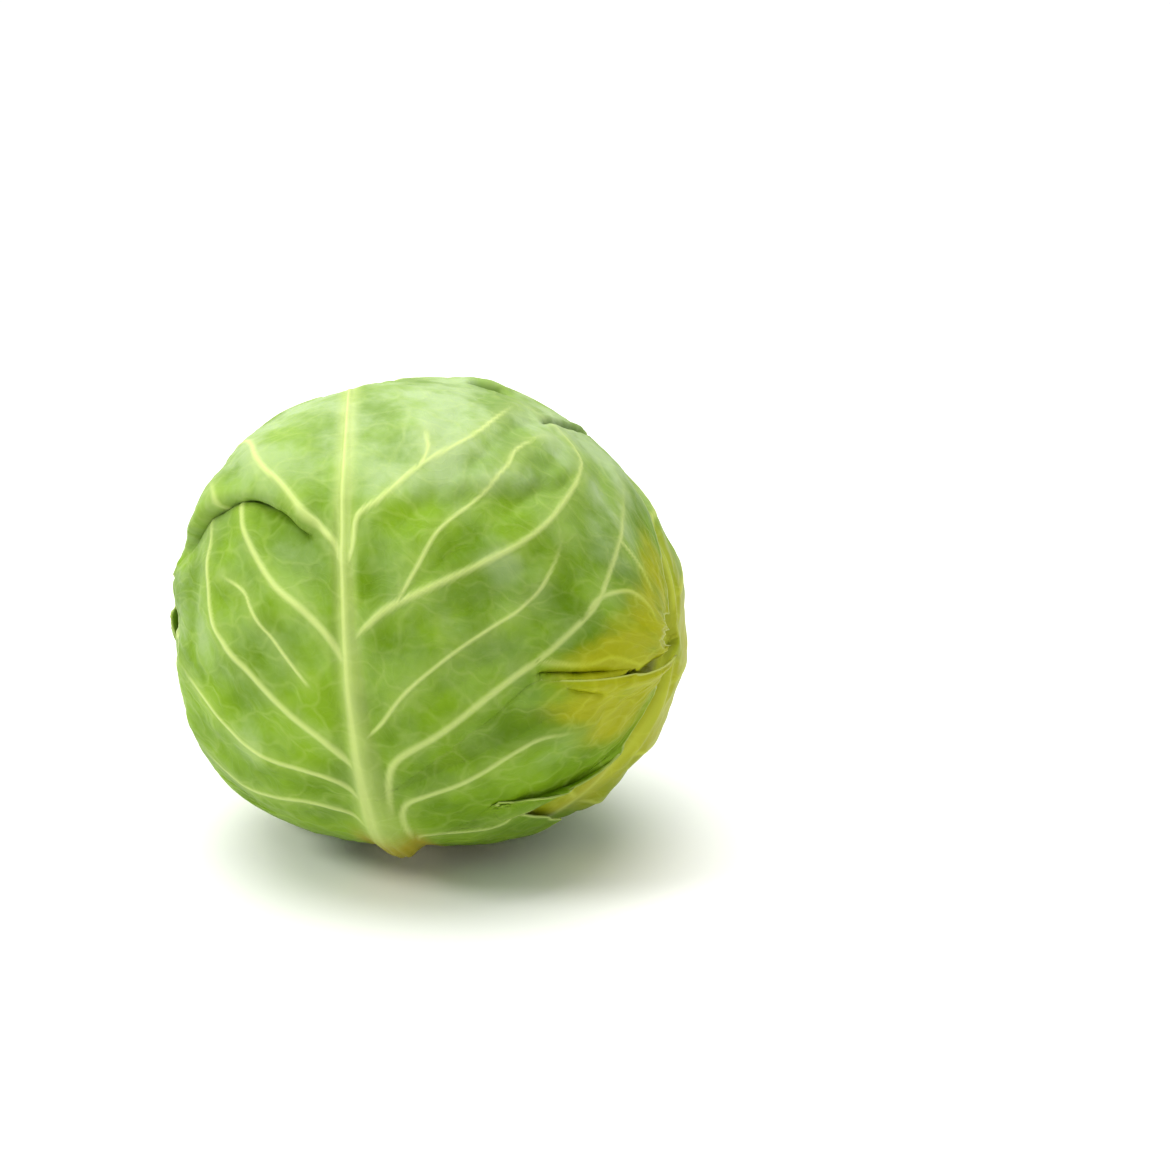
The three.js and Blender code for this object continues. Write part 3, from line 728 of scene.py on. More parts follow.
def vein_lines(veins):
    """Smooth lines in leaf coordinates with their half widths, heights and how pale they are."""
    lines = []
    for (root_width, tip_width), points in veins:
        line = spline(points)
        share = np.linspace(0, 1, len(line))
        width = VEIN_WIDTH * (root_width + (tip_width - root_width) * share ** 0.6)
        width = width * (0.4 + 0.6 * smooth(0, 0.1, share)) * (0.6 + 0.4 * smooth(1, 0.93, share))
        show = (0.5 + 0.5 * smooth(0, 0.06, share)) * smooth(1.02, 0.78, share)
        lines.append((line, width, 0.55 * width * (1 - 0.3 * share), show))
    return lines


def wrapper_paths(leaf, rank, veins):
    """The veins of a wrapper leaf, laid on its sheet with its pleats."""
    laid = []
    for line, width, height, show in vein_lines(veins):
        lift, pull = pleat_moves(leaf, line[:, 0], line[:, 1])
        direction = leaf_direction(leaf, line[:, 0] - pull, line[:, 1])
        depth, _ = under_leaves(WRAPPER_LEAVES[:rank], direction)
        laid.append((to_part(direction, skin_radius(direction) - depth + lift), width, height, show))
    return vein_paths(leaf["name"] + "_veins", laid)


print("the front leaf's veins are", round(sum(float(np.hypot(*np.diff(line, axis=0).T).sum())
                                               for line, *_ in vein_lines(FRONT_VEINS))), "mm long in all")

# %% [markdown]
# ## Writing node trees as sums
# Geometry and shader trees hold many small sums. Wrapping a socket in a class whose operators add
# the Math nodes lets a sum be written as a sum. Any other node comes from one method.

# %% Sockets that can be added
class Value:
    """A number socket of a tree; sums on it add Math nodes."""

    def __init__(self, tree, socket):
        self.tree, self.socket = tree, socket

    def math(self, operation, *others, clamp=False):
        return self.tree.node("ShaderNodeMath", {"operation": operation, "use_clamp": clamp},
                              dict(enumerate((self, *others))))

    def __add__(self, other): return self.math("ADD", other)
    def __radd__(self, other): return self.math("ADD", other)
    def __sub__(self, other): return self.math("SUBTRACT", other)
    def __rsub__(self, other): return self.tree.number(other).math("SUBTRACT", self)
    def __mul__(self, other): return self.math("MULTIPLY", other)
    def __truediv__(self, other): return self.math("DIVIDE", other)
    def __rtruediv__(self, other): return self.tree.number(other).math("DIVIDE", self)
    def __pow__(self, other): return self.math("POWER", other)
    def least(self, other): return self.math("MINIMUM", other)
    def most(self, other): return self.math("MAXIMUM", other)
    def clamped(self): return self.math("MULTIPLY", 1.0, clamp=True)

    def step(self, start, end):
        """0 at start, 1 at end, smooth between."""
        return self.tree.node("ShaderNodeMapRange", {"interpolation_type": "SMOOTHSTEP"},
                              {"Value": self, "From Min": start, "From Max": end})


class Tree:
    """A node tree with one method for every kind of node."""

    def __init__(self, nodes_and_links):
        self.raw = nodes_and_links

    def socket_of(self, sockets, key):
        if isinstance(key, int):
            return sockets[key]
        for socket in sockets:
            if socket.identifier == key:
                return socket
        return sockets[key]

    def node(self, kind, settings=None, inputs=None, output=0):
        made = self.raw.nodes.new(kind)
        for name, value in (settings or {}).items():
            setattr(made, name, value)
        for key, value in (inputs or {}).items():
            socket = self.socket_of(made.inputs, key)
            if isinstance(value, Value):
                self.raw.links.new(value.socket, socket)
            else:
                socket.default_value = value
        if output is None:
            return made
        return Value(self, self.socket_of(made.outputs, output))

    def number(self, value):
        if isinstance(value, Value):
            return value
        return self.node("ShaderNodeMath", {"operation": "ADD"}, {0: float(value), 1: 0.0})

    def vector(self, operation, a, b):
        """Vector Math on two vectors, or on a vector and a number if it scales."""
        second = "Scale" if operation == "SCALE" else 1
        return self.node("ShaderNodeVectorMath", {"operation": operation}, {0: a, second: b})

    def noise(self, place, scale, detail, roughness=0.5, output="Fac"):
        return self.node("ShaderNodeTexNoise", {"noise_dimensions": "3D"}, output=output, inputs={
            "Vector": place, "Scale": scale, "Detail": detail, "Roughness": roughness})

    def parts(self, vector):
        """The three numbers of a vector."""
        separated = self.node("ShaderNodeSeparateXYZ", inputs={"Vector": vector}, output=None)
        return [Value(self, socket) for socket in separated.outputs]

    def mix(self, share, a, b):
        """From colour a to colour b by a share that is kept between 0 and 1."""
        a, b = (colour if isinstance(colour, Value) else (*colour, 1) for colour in (a, b))
        return self.node("ShaderNodeMix", {"data_type": "RGBA"},
                         {"Factor_Float": share, "A_Color": a, "B_Color": b}, "Result_Color")


scratch = bpy.data.node_groups.new("scratch", "ShaderNodeTree")
(1 - Tree(scratch).number(2) * 3).clamped()
print("one short sum made", len(scratch.nodes), "nodes")
bpy.data.node_groups.remove(scratch)

# %% [markdown]
# ## Raising the veins with Geometry Nodes
# A rib is thickest along its middle and fades into the blade. The tree measures how far each
# point of the blade is from the nearest path, and pushes the point out by a rounded profile. It
# also bulges the blade between the veins, raises the fine net by a cell pattern, and stores
# what it did as attributes for the material. A displaced subdivision surface could do the same,
# but its pattern would have to be painted. Three helpers come first, because every geometry tree
# begins, ends and is applied alike.

# %% How a geometry tree begins, ends and is applied
def new_group(name, inputs):
    """An empty geometry tree, and its inputs as values by name."""
    group = bpy.data.node_groups.new(name, "GeometryNodeTree")
    group.interface.new_socket("Geometry", in_out="OUTPUT", socket_type="NodeSocketGeometry")
    for title, kind in [("Geometry", "Geometry"), *inputs, ("Material", "Material")]:
        group.interface.new_socket(title, in_out="INPUT", socket_type="NodeSocket" + kind)
    tree = Tree(group)
    source = tree.node("NodeGroupInput", output=None)
    return tree, {socket.name: Value(tree, socket) for socket in source.outputs if socket.name}


def end_group(tree, geometry, material):
    """Ends a geometry tree: plain geometry that has its material."""
    real = tree.node("GeometryNodeRealizeInstances", inputs={"Geometry": geometry})
    done = tree.node("GeometryNodeSetMaterial", inputs={"Geometry": real, "Material": material})
    result = tree.node("NodeGroupOutput", output=None)
    tree.raw.links.new(done.socket, result.inputs[0])
    print(tree.raw.name + ":", len(tree.raw.nodes), "nodes")
    return tree.raw


def run_tree(piece, group, name, **inputs):
    """Runs a geometry tree on a piece and returns the result as a plain mesh object."""
    modifier = piece.modifiers.new(group.name, "NODES")
    modifier.node_group = group
    for item in group.interface.items_tree:
        key = item.name.replace(" ", "_").lower()
        if item.in_out == "INPUT" and key in inputs:
            modifier[item.identifier] = inputs[key]
    depsgraph = bpy.context.evaluated_depsgraph_get()
    mesh = bpy.data.meshes.new_from_object(piece.evaluated_get(depsgraph),
                                           preserve_all_data_layers=True, depsgraph=depsgraph)
    piece.modifiers.remove(modifier)
    result = bpy.data.objects.new(name, mesh)
    mesh.name = name
    bpy.context.scene.collection.objects.link(result)
    bpy.data.objects.remove(piece)
    return result


# %% The fine net
NET_WARP = 26.0  # mm: how far noise pulls the cells out of shape
NET_SQUEEZE = 0.7  # of the distance across the leaf, so that cells come out wider than long


def net_distance(tree, place, cell):
    """Distance in mm to the nearest line of the fine net, for places in leaf coordinates."""
    warp = tree.noise(place, 0.055, 2.0, output="Color")
    warped = tree.vector("ADD", place, tree.vector("SCALE", warp, NET_WARP))
    flat = tree.vector("MULTIPLY", warped, (1, NET_SQUEEZE, 0))
    cell = tree.number(cell)
    edge = tree.node("ShaderNodeTexVoronoi", {"feature": "DISTANCE_TO_EDGE", "voronoi_dimensions": "2D"},
                     {"Vector": flat, "Scale": 1 / cell}, "Distance")
    return edge * cell


print("a cell of the net is", round(1 / NET_SQUEEZE, 2), "times as wide as long")

# %% The vein tree
RIB_BLEND = 0.0015  # m: how softly ribs that meet flow into each other
RIDGE_WIDTH, FOOT_WIDTH = 0.013, 0.006  # m from a side rib's middle
FULL_FLUTES = 0.0046  # m: from this height on a midrib has its full flutes


def vein_tree():
    numbers = ("Ridge", "Pucker", "Flute", "Net height", "Net cell", "Swell", "Seed")
    tree, given = new_group("Raised veins", [("Veins", "Object")] + [(name, "Float") for name in numbers])
    veins = tree.node("GeometryNodeObjectInfo", {"transform_space": "ORIGINAL"},
                      {"Object": given["Veins"]}, "Geometry")

    def named(name, kind="FLOAT"):
        return tree.node("GeometryNodeInputNamedAttribute", {"data_type": kind}, {"Name": name}, "Attribute")

    near = tree.node("GeometryNodeProximity", {"target_element": "EDGES"}, {"Target": veins}, "Distance")
    index = tree.node("GeometryNodeSampleNearest", {"domain": "POINT"}, {"Geometry": veins}, "Index")

    def from_path(name):
        return tree.node("GeometryNodeSampleIndex", {"data_type": "FLOAT", "domain": "POINT"},
                         {"Geometry": veins, "Value": named(name), "Index": index}, "Value")

    width, height, show = (from_path(name) for name in ("half_width", "height", "show"))
    rib_share, rib_height = named("rib_share"), named("rib_height")
    from_midrib = rib_share.step(0.9, 2.4)
    share = near / width
    profile = (1 - share * share * 0.5).most(0.0)
    midrib = (1 - rib_share.step(0.25, 1.5)) * rib_height
    ribs = (profile * profile * height).math("SMOOTH_MAX", midrib, RIB_BLEND)
    ridge = (1 - near.step(0.0, RIDGE_WIDTH)) * from_midrib * given["Ridge"]

    place = named("leaf_mm", "FLOAT_VECTOR")
    moved = tree.vector("ADD", place, tree.node("ShaderNodeCombineXYZ", inputs={"Z": given["Seed"]}))
    swell, buckle = tree.noise(moved, 0.032, 1.5), tree.noise(moved, 0.11, 1.0)
    cells = net_distance(tree, moved, given["Net cell"])
    net = (1 - cells.step(0.0, 2.2)) * near.step(0.001, 0.004) * from_midrib
    between = near.step(0.0008, 0.0085) * from_midrib
    across = tree.parts(place)[1]
    on_midrib = (1 - rib_share.step(0.5, 1.2)) * (rib_height / FULL_FLUTES).least(1.0)
    flutes = (across * 2.0 + swell * 5).math("SINE") * on_midrib * given["Flute"]
    out = (ribs + ridge + flutes + net * given["Net height"]
           + (swell - 0.4).most(0.0) * given["Swell"]
           + (buckle - 0.5) * between * given["Pucker"] * 2.2) * named("raise")

    side = (1 - (near / width.most(0.0008)).step(0.15, 1.2)) * show * (rib_share.step(0.4, 1.2) * 0.6 + 0.4)
    # painted highlight: a light line down the midrib's left flank, where the lamp at the left lights it; it
    # is stored with the vein's paleness
    lit_line = 1 - (rib_share * across.math("SIGN") + 0.35).math("ABSOLUTE").step(0.1, 0.6)
    middle = (1 - rib_share.step(0.35, 1.5)) * 0.45 + lit_line * 0.6
    middle = middle.most((1 - across.math("ABSOLUTE").step(0.8, 6.0)) * 0.5)
    foot = (1 - near.step(0.0, FOOT_WIDTH)).most(1 - rib_share.step(0.8, 2.6))
    marked = given["Geometry"]  # stored first: distances would be longer once the ribs are raised
    for name, value in (("vein", side.most(middle)), ("foot", foot)):
        marked = tree.node("GeometryNodeStoreNamedAttribute", {"data_type": "FLOAT", "domain": "POINT"},
                           {"Geometry": marked, "Name": name, "Value": value})
    offset = tree.vector("SCALE", tree.node("GeometryNodeInputNormal", output="Normal"), out)
    shaped = tree.node("GeometryNodeSetPosition", inputs={"Geometry": marked, "Offset": offset})
    return end_group(tree, shaped, given["Material"])


VEIN_TREE = vein_tree()

# %% [markdown]
# ## The leaf's finish
# A fresh cabbage leaf is yellow-green with a waxy bloom that turns it pale and greyish where it
# has not been rubbed. Its ribs are pale, the net between them a little lighter than the blade,
# and old leaves yellow from the edge. Light and shade are painted in as well: the pale bloom mix
# also carries painted sheen, painted light patches and, on the front leaf, a painted shade edge;
# a painted highlight runs down the left flank of each midrib, and a light rim is painted along
# every edge. The material mixes these by the stored attributes and by noise in leaf coordinates.
# Light also passes a little way into the leaf.

# %% How a material begins and ends
def linear(r, g, b):
    """Linear light from the display colour that one reads off a swatch, 0 to 255."""
    def one(value):
        value /= 255
        return value / 12.92 if value <= 0.04045 else ((value + 0.055) / 1.055) ** 2.4
    return one(r), one(g), one(b)


def new_material(name):
    material = bpy.data.materials.new(name)
    material.use_nodes = True
    material.node_tree.nodes.clear()
    return material, Tree(material.node_tree)


def finish(tree, colour, roughness, relief, bump, constants):
    """Ends a material: a Principled shader over a Bump of the given strength and depth."""
    normal = tree.node("ShaderNodeBump", output="Normal",
                       inputs={"Strength": bump[0], "Distance": bump[1], "Height": relief})
    shader = tree.node("ShaderNodeBsdfPrincipled", output="BSDF",
                       inputs={"Base Color": colour, "Roughness": roughness, "Normal": normal, **constants})
    out = tree.node("ShaderNodeOutputMaterial", output=None)
    tree.raw.links.new(shader.socket, out.inputs["Surface"])


print("a pale rib in linear light:", [round(x, 3) for x in linear(203, 215, 138)])

# %% The leaf material
YELLOWED, YELLOWED_RIB = (0.37, 0.385, 0.003), linear(186, 194, 30)
# the second colour is painted shade: the dark green that stands for the shade inside the slits
STUB, SLIT_SHADE = (0.40, 0.35, 0.02), linear(40, 74, 4)
WIDE_CELL, NARROW_CELL = 11.0, 3.6  # mm
THROUGH_LEAF = {"Subsurface Weight": 0.12, "Subsurface Radius": (0.9, 1.0, 0.25),
                "Subsurface Scale": 0.002, "Specular IOR Level": 0.16}


def leaf_material(name, deep, mid, bloom, rib, bloom_share, seed):
    material, tree = new_material(name)

    def stored(attribute, output="Fac"):
        return tree.node("ShaderNodeAttribute", {"attribute_name": attribute}, output=output)

    place = tree.vector("ADD", stored("leaf_mm", "Vector"), (0, 0, 37.0 * seed))

    def noise(scale, detail=3.0):
        return tree.noise(place, scale, detail, 0.55)

    vein, yellowed, stub = stored("vein"), stored("yellow"), stored("stub")
    fine, dusty = noise(0.35), noise(0.045, 4.0).step(0.36, 0.64)
    still_green = 1 - yellowed.clamped()
    base = tree.mix(noise(0.03, 4.0).step(0.36, 0.66), deep, mid)
    # the pale mix: bloom, with the painted sheen, painted light patches and painted shade edge that it
    # carries
    dust_and_painted_light = stored("bloom") * bloom_share * (0.45 + dusty * 0.75) + (dusty - 0.5) * 0.1 + (fine - 0.5) * 0.16
    dust_and_painted_light = dust_and_painted_light * (still_green * 0.85 + 0.15)
    base = tree.mix(dust_and_painted_light, base, bloom)
    aged = (yellowed * 1.1 + (noise(0.05) - 0.5) * 2.0) * yellowed.step(0.0, 0.7)
    base = tree.mix(aged.clamped() * 0.95, base, YELLOWED)
    base = tree.mix(stored("foot") * 0.12 * still_green, base, rib)
    wide = 1 - net_distance(tree, place, WIDE_CELL).step(0.0, 1.3)
    narrow = 1 - net_distance(tree, place, NARROW_CELL).step(0.0, 0.5)
    threads = (wide * 0.1 + narrow * 0.03) * (0.2 + noise(0.06, 2.0) * 1.2) * (1 + yellowed * 2.2)
    rib_here = tree.mix(yellowed * 0.9, rib, YELLOWED_RIB)
    base = tree.mix(threads, base, rib_here)
    # the vein attribute also holds a painted highlight down the left flank of each midrib
    base = tree.mix(vein * (0.58 + tree.parts(place)[0].step(60, 150) * 0.1), base, rib_here)
    # painted shade: the slits are painted dark green
    base = tree.mix(stored("slit") * 0.9, base, SLIT_SHADE)
    # painted highlight: a thin light rim along every edge of the blade
    base = tree.mix((1 - stored("edge_mm").step(0.2, 1.6)) * 0.5, base, rib)
    base = tree.mix(stub + (fine - 0.5) * stub, base, STUB)
    relief = narrow * 0.25 + fine * 0.3 + noise(1.6, 2.0) * 0.08
    finish(tree, base, 0.44 + dust_and_painted_light * 0.18 - vein * 0.05, relief, (0.3, 0.0004), THROUGH_LEAF)
    print(name + ":", len(tree.raw.nodes), "nodes")
    return material


OUTER_LEAF = leaf_material("outer leaf", deep=linear(100, 134, 4), mid=linear(126, 160, 26),
                           bloom=linear(164, 184, 134), rib=linear(203, 215, 138), bloom_share=0.74, seed=0)
INNER_LEAF = leaf_material("inner leaf", deep=linear(126, 158, 26), mid=linear(150, 180, 56),
                           bloom=linear(180, 204, 120), rib=linear(208, 220, 140), bloom_share=0.6, seed=1)
HEART_LEAF = leaf_material("heart leaf", deep=linear(146, 174, 52), mid=linear(180, 198, 90),
                           bloom=linear(196, 210, 142), rib=linear(222, 228, 168), bloom_share=0.5, seed=2)

# %% [markdown]
# Bloom and yellowing are uneven over a real leaf. The pale mix is strongest on the upper half:
# partly bloom, which nothing rubs there, and partly painted sheen of the light overhead. On the
# front leaf it ends sharply at the foot of a shelf, as painted shade where the blade bends away,
# and pale patches of painted light are added further down. The front leaf has yellowed beyond its
# lowest long rib on the right, and so have the leaves seen beside its tear. The slits are painted
# dark green as painted shade, and the thick end of a midrib is stained olive. All are stored on
# the points as plain numbers.

# %% Bloom with painted light, yellowing, painted slit shade and stubs
PAINTED_LIGHT_SPOTS = [  # along, across, half length, half width, strength: pale patches of painted light lower down
    (160, 51, 11, 9, 0.55), (138, 34, 9, 7, 0.35), (122, -64, 22, 6, 0.6), (84, -44, 10, 8, 0.5),
    (157, -22, 6, 8, 0.45), (78, 64, 9, 10, 0.3), (128, 14, 8, 5, 0.25),
]
YELLOW_EDGE = [(60, 66), (85, 62), (100, 52), (118, 55), (144, 82), (163, 92), (200, 103), (250, 112)]
YELLOW_SPOTS = {"wrapper_leaf_3": -24, "wrapper_leaf_6": 60}  # where across their middle is


def front_leaf_marks(along, across, top_bloom_and_painted_light):
    """The front leaf's bloom with painted sheen and a painted shade edge on top, its painted light spots, its
    yellowing and its painted slit shade.
    """
    # painted shade: over the first shelf the pale mix stops sharply at the shelf's foot, so the blade below
    # it, where it bends away, stays darker
    over = along - through(SHELVES[0]["foot"], across)
    crisp = window((2, 14, 82, 92), across)
    top_bloom_and_painted_light = top_bloom_and_painted_light * (1 - crisp) + crisp * smooth(-3, 7, over) * (0.75 + 0.25 * smooth(0, 40, over))
    top_bloom_and_painted_light = top_bloom_and_painted_light * (1 - 0.7 * smooth(102, 118, across))
    painted_light_spots, slit = np.zeros(len(along)), np.zeros(len(along))
    # painted light: pale lit patches, drawn in the bloom's colour
    for at, aside, length, width, strength in PAINTED_LIGHT_SPOTS:
        off = np.hypot((along - at) / length, (across - aside) / width)
        painted_light_spots = np.maximum(painted_light_spots, strength * bell(off ** 1.5))
    # painted shade along the two slits near the crown
    for cut in SLITS[:2]:
        slit = np.maximum(slit, window(cut["window"], across) * bell(above_line(cut, along, across) / 2.6))
    beyond = across - through(YELLOW_EDGE, along)
    yellow = smooth(-4, 26, beyond) * (1 - smooth(160, 216, along)) * smooth(30, 84, along)
    edge = 0.75 * smooth(104, 118, across) * (1 - smooth(210, 262, along))
    return top_bloom_and_painted_light, painted_light_spots, np.maximum(yellow, edge), slit


def paint(piece, leaf):
    """Stores a leaf's marks on every point, from its leaf coordinates."""
    along, across, _ = rows_of(piece.data.attributes["leaf_mm"].data, "vector").T
    # paler towards the top: partly bloom, partly painted sheen of the light overhead
    top_bloom_and_painted_light = smooth(160, 222, along)
    painted_light_spots = yellow = slit = np.zeros(len(along))
    if leaf["name"] == "wrapper_leaf_1":
        top_bloom_and_painted_light, painted_light_spots, yellow, slit = front_leaf_marks(along, across, top_bloom_and_painted_light)
    elif leaf["name"] in YELLOW_SPOTS:
        off = np.hypot((along - 112) / 72, (across - YELLOW_SPOTS[leaf["name"]]) / 64)
        yellow = 0.9 * smooth(1.3, 0.45, off)
    # the pale mix: bloom, with the painted sheen on top and the painted light spots
    bloom = np.maximum(0.2 * smooth(50, 140, along) + 0.8 * top_bloom_and_painted_light, painted_light_spots) * (1 - 0.8 * yellow)
    stub = smooth(56, 34, along) * smooth(16, 9, np.abs(across))
    # the slit mask is painted shade
    for name, values in (("bloom", bloom), ("yellow", yellow), ("slit", slit), ("stub", stub)):
        point_attribute(piece, name, values)
    print(leaf["name"], "mean bloom", round(float(bloom.mean()), 2), "yellow", round(float(yellow.mean()), 2))


# %% [markdown]
# The head's own weight presses whatever would reach below the table flat against it.

# %% Pressed flat on the table
PRESS_BELOW = 0.6 * MM


def press_flat(piece):
    places = rows_of(piece.data.vertices, "co")
    low = places[:, 2] < PRESS_BELOW
    places[low, 2] = PRESS_BELOW * np.exp(places[low, 2] / PRESS_BELOW - 1)
    piece.data.vertices.foreach_set("co", places.ravel())
    piece.data.update()
    print(piece.name, "pressed flat at", int(low.sum()), "of", len(places), "points")


# %% [markdown]
# ## Making the wrapper leaves
# Everything is ready: grid, paths, tree and finish. The front leaf gets the finest grid because
# its ribs are seen closest; leaves that are mostly hidden get by with less.

# %% The wrapper leaves
GRIDS = [(420, 104), (380, 88), (380, 88), (340, 80), (260, 60), (260, 60)]  # rows, columns a side
RELIEF = dict(ridge=0.0013, pucker=0.0006, flute=0.00025, net_height=0.00016, net_cell=11.0)
LEAVES = []
for rank, (leaf, (rows, half)) in enumerate(zip(WRAPPER_LEAVES, GRIDS)):
    blade = leaf_mesh(leaf, rank, rows, half)
    paint(blade, leaf)
    paths = wrapper_paths(leaf, rank, FRONT_VEINS if rank == 0 else pinnate_veins(leaf, seed=10 + rank))
    dressed = run_tree(blade, VEIN_TREE, leaf["name"] + "_dressed", veins=paths, **RELIEF,
                       swell=0.003 if rank == 0 else 0.002, seed=17.0 * rank,
                       material=OUTER_LEAF if rank < 4 else INNER_LEAF)
    bpy.data.objects.remove(paths)
    press_flat(dressed)
    LEAVES.append((leaf["name"], dressed))
    print(dressed.name, len(dressed.data.polygons), "faces")

# %% [markdown]
# ## The heart
# Under the wrappers lie the tightly folded leaves of the heart. Only the part at the crown
# shows. It is one closed ball whose surface steps down at each leaf's edge.

# %% The heart
HEART_CLEARANCE, HEART_STEP = 0.8, 1.6  # mm
HEART_ROWS, HEART_COLUMNS = 180, 280
LEAF_TURN = 137.5  # degrees from one leaf of the spiral to the next
HEART_LEAVES = [dict(name="heart_leaf", azimuth=15.5 - LEAF_TURN * (i + 1), middle=116, half_length=104,
                     half_width=(78 - 3 * i, 74 - 2 * i), bend=(0, 12 if i % 2 else -12),
                     reach=([(-72, 1), (0, 1.05), (90, 1)], [(-72, 1), (20, 0.97), (90, 1)]))
                for i in range(6)]


def heart_radius(direction):
    depth, _ = under_leaves(WRAPPER_LEAVES, direction)
    relief = np.zeros(direction.shape[:-1])
    still = np.ones(direction.shape[:-1], bool)
    for leaf in HEART_LEAVES:
        still = still & (inside_edge(leaf, direction) <= 0)
        relief = relief + np.where(still, HEART_STEP * cover(leaf, direction), 0)
    return skin_radius(direction) - depth - HEART_CLEARANCE - relief


def ball_mesh(name, rows, columns, radius_of):
    """A closed ball whose distance from the head's centre is given for each direction."""
    polar = np.pi * np.arange(1, rows)[:, None] / rows
    azimuth = 2 * np.pi * np.arange(columns)[None, :] / columns
    direction = np.stack([np.sin(polar) * np.cos(azimuth), np.sin(polar) * np.sin(azimuth),
                          -np.cos(polar) * np.ones_like(azimuth)], -1).reshape(-1, 3)
    direction = np.concatenate([[[0, 0, -1.0]], direction, [[0, 0, 1.0]]])
    last = len(direction) - 1

    def at(r, c):
        return 1 + (r - 1) * columns + c % columns

    faces = []
    for c in range(columns):
        faces.append((0, at(1, c + 1), at(1, c)))
        faces += [(at(r, c), at(r, c + 1), at(r + 1, c + 1), at(r + 1, c)) for r in range(1, rows - 1)]
        faces.append((last, at(rows - 1, c), at(rows - 1, c + 1)))
    piece = new_mesh_object(name, to_part(direction, radius_of(direction)), faces)
    piece.data.shade_smooth()
    return piece, direction


def heart_paths():
    """Veins of the heart's upper leaves, each only where no leaf further out hides it."""
    laid = []
    for rank, leaf in enumerate(HEART_LEAVES[:4]):
        tip = leaf["middle"] + 0.9 * leaf["half_length"]
        midrib = [((3.4, 1.2), [(along, 0) for along in np.linspace(24, tip, 9)])]
        for line, width, height, show in vein_lines(midrib + pinnate_veins(leaf, seed=40 + rank)):
            direction = leaf_direction(leaf, line[:, 0], line[:, 1])
            shown = inside_edge(leaf, direction) > 1
            for outer in HEART_LEAVES[:rank]:
                shown &= inside_edge(outer, direction) < -1
            runs = np.split(np.arange(len(line)), np.flatnonzero(np.diff(shown.astype(int))) + 1)
            for run in runs:
                if shown[run[0]] and len(run) > 3:
                    laid.append((to_part(direction[run], heart_radius(direction[run])),
                                 width[run], height[run], show[run]))
    return vein_paths("heart_veins", laid)


heart_ball, heart_direction = ball_mesh("heart_ball", HEART_ROWS, HEART_COLUMNS, heart_radius)
along, across = leaf_coordinates(HEART_LEAVES[0], heart_direction)
point_attribute(heart_ball, "leaf_mm", np.stack([along, across, 0 * along], -1), "FLOAT_VECTOR")
for attribute, value in (("yellow", 0), ("stub", 0), ("slit", 0), ("edge_mm", 20), ("bloom", 1),
                         ("raise", 1), ("rib_share", 9), ("rib_height", 0)):
    point_attribute(heart_ball, attribute, np.full(len(along), float(value)))
paths = heart_paths()
heart = run_tree(heart_ball, VEIN_TREE, "heart_dressed", veins=paths, ridge=0.0006, pucker=0.0005,
                 flute=0.0, net_height=0.00012, net_cell=9.0, swell=0.0, seed=90.0, material=HEART_LEAF)
bpy.data.objects.remove(paths)
print("heart:", len(heart.data.polygons), "faces")

# %% [markdown]
# ## The stalk
# The stalk was cut square with a knife just below the leaves. The cut has dried a little: its
# pith is pale and spongy, a ring of woody bundles stands round the pith, and the rind is
# tougher and greener. The body is a turned shape with an uneven outline, and the bundles are
# small beads set round a circle by a geometry tree, because they are all alike.

# %% The stalk's body
STALK_PROFILE = [(0, -73.3), (5, -73.35), (9, -73.4), (12.6, -73.5), (13.7, -73.2), (14, -72.4),
                 (13.9, -68), (14, -61.5), (12.2, -50), (10.6, -41), (9.5, -32), (8, -14), (4.5, -8.2),
                 (0, -8)]  # radius and height, in mm from the head's centre
STALK_SIDES = 96


def stalk_body():
    around = 2 * np.pi * np.arange(STALK_SIDES) / STALK_SIDES
    uneven = 1 - 0.012 * (1 + np.sin(3 * around + 0.7)) - 0.008 * (1 + np.sin(7 * around + 2))
    points = [np.array([[0, 0, STALK_PROFILE[0][1]]], float)]
    for radius, height in STALK_PROFILE[1:-1]:
        points.append(np.stack([radius * uneven * np.cos(around), radius * uneven * np.sin(around),
                                np.full(STALK_SIDES, float(height))], -1))
    points.append(np.array([[0, 0, STALK_PROFILE[-1][1]]], float))
    flat = np.concatenate(points)
    last, rings, sides = len(flat) - 1, len(STALK_PROFILE) - 2, STALK_SIDES
    faces = []
    for k in range(sides):
        m = (k + 1) % sides
        faces.append((0, 1 + m, 1 + k))
        faces += [(1 + r * sides + k, 1 + r * sides + m, 1 + (r + 1) * sides + m, 1 + (r + 1) * sides + k)
                  for r in range(rings - 1)]
        faces.append((last, 1 + (rings - 1) * sides + k, 1 + (rings - 1) * sides + m))
    piece = new_mesh_object("stalk_body", in_part(flat), faces)
    point_attribute(piece, "stalk_mm", flat, "FLOAT_VECTOR")
    piece.data.shade_smooth()
    return piece


body = stalk_body()
print("the stalk's body:", len(body.data.polygons), "faces")

# %% The stalk's finish
CUT_HEIGHT = -73.2  # mm: above it the rind's side begins
THROUGH_STALK = {"Subsurface Weight": 0.1, "Subsurface Radius": (1.0, 0.9, 0.5),
                 "Subsurface Scale": 0.002, "Specular IOR Level": 0.3}


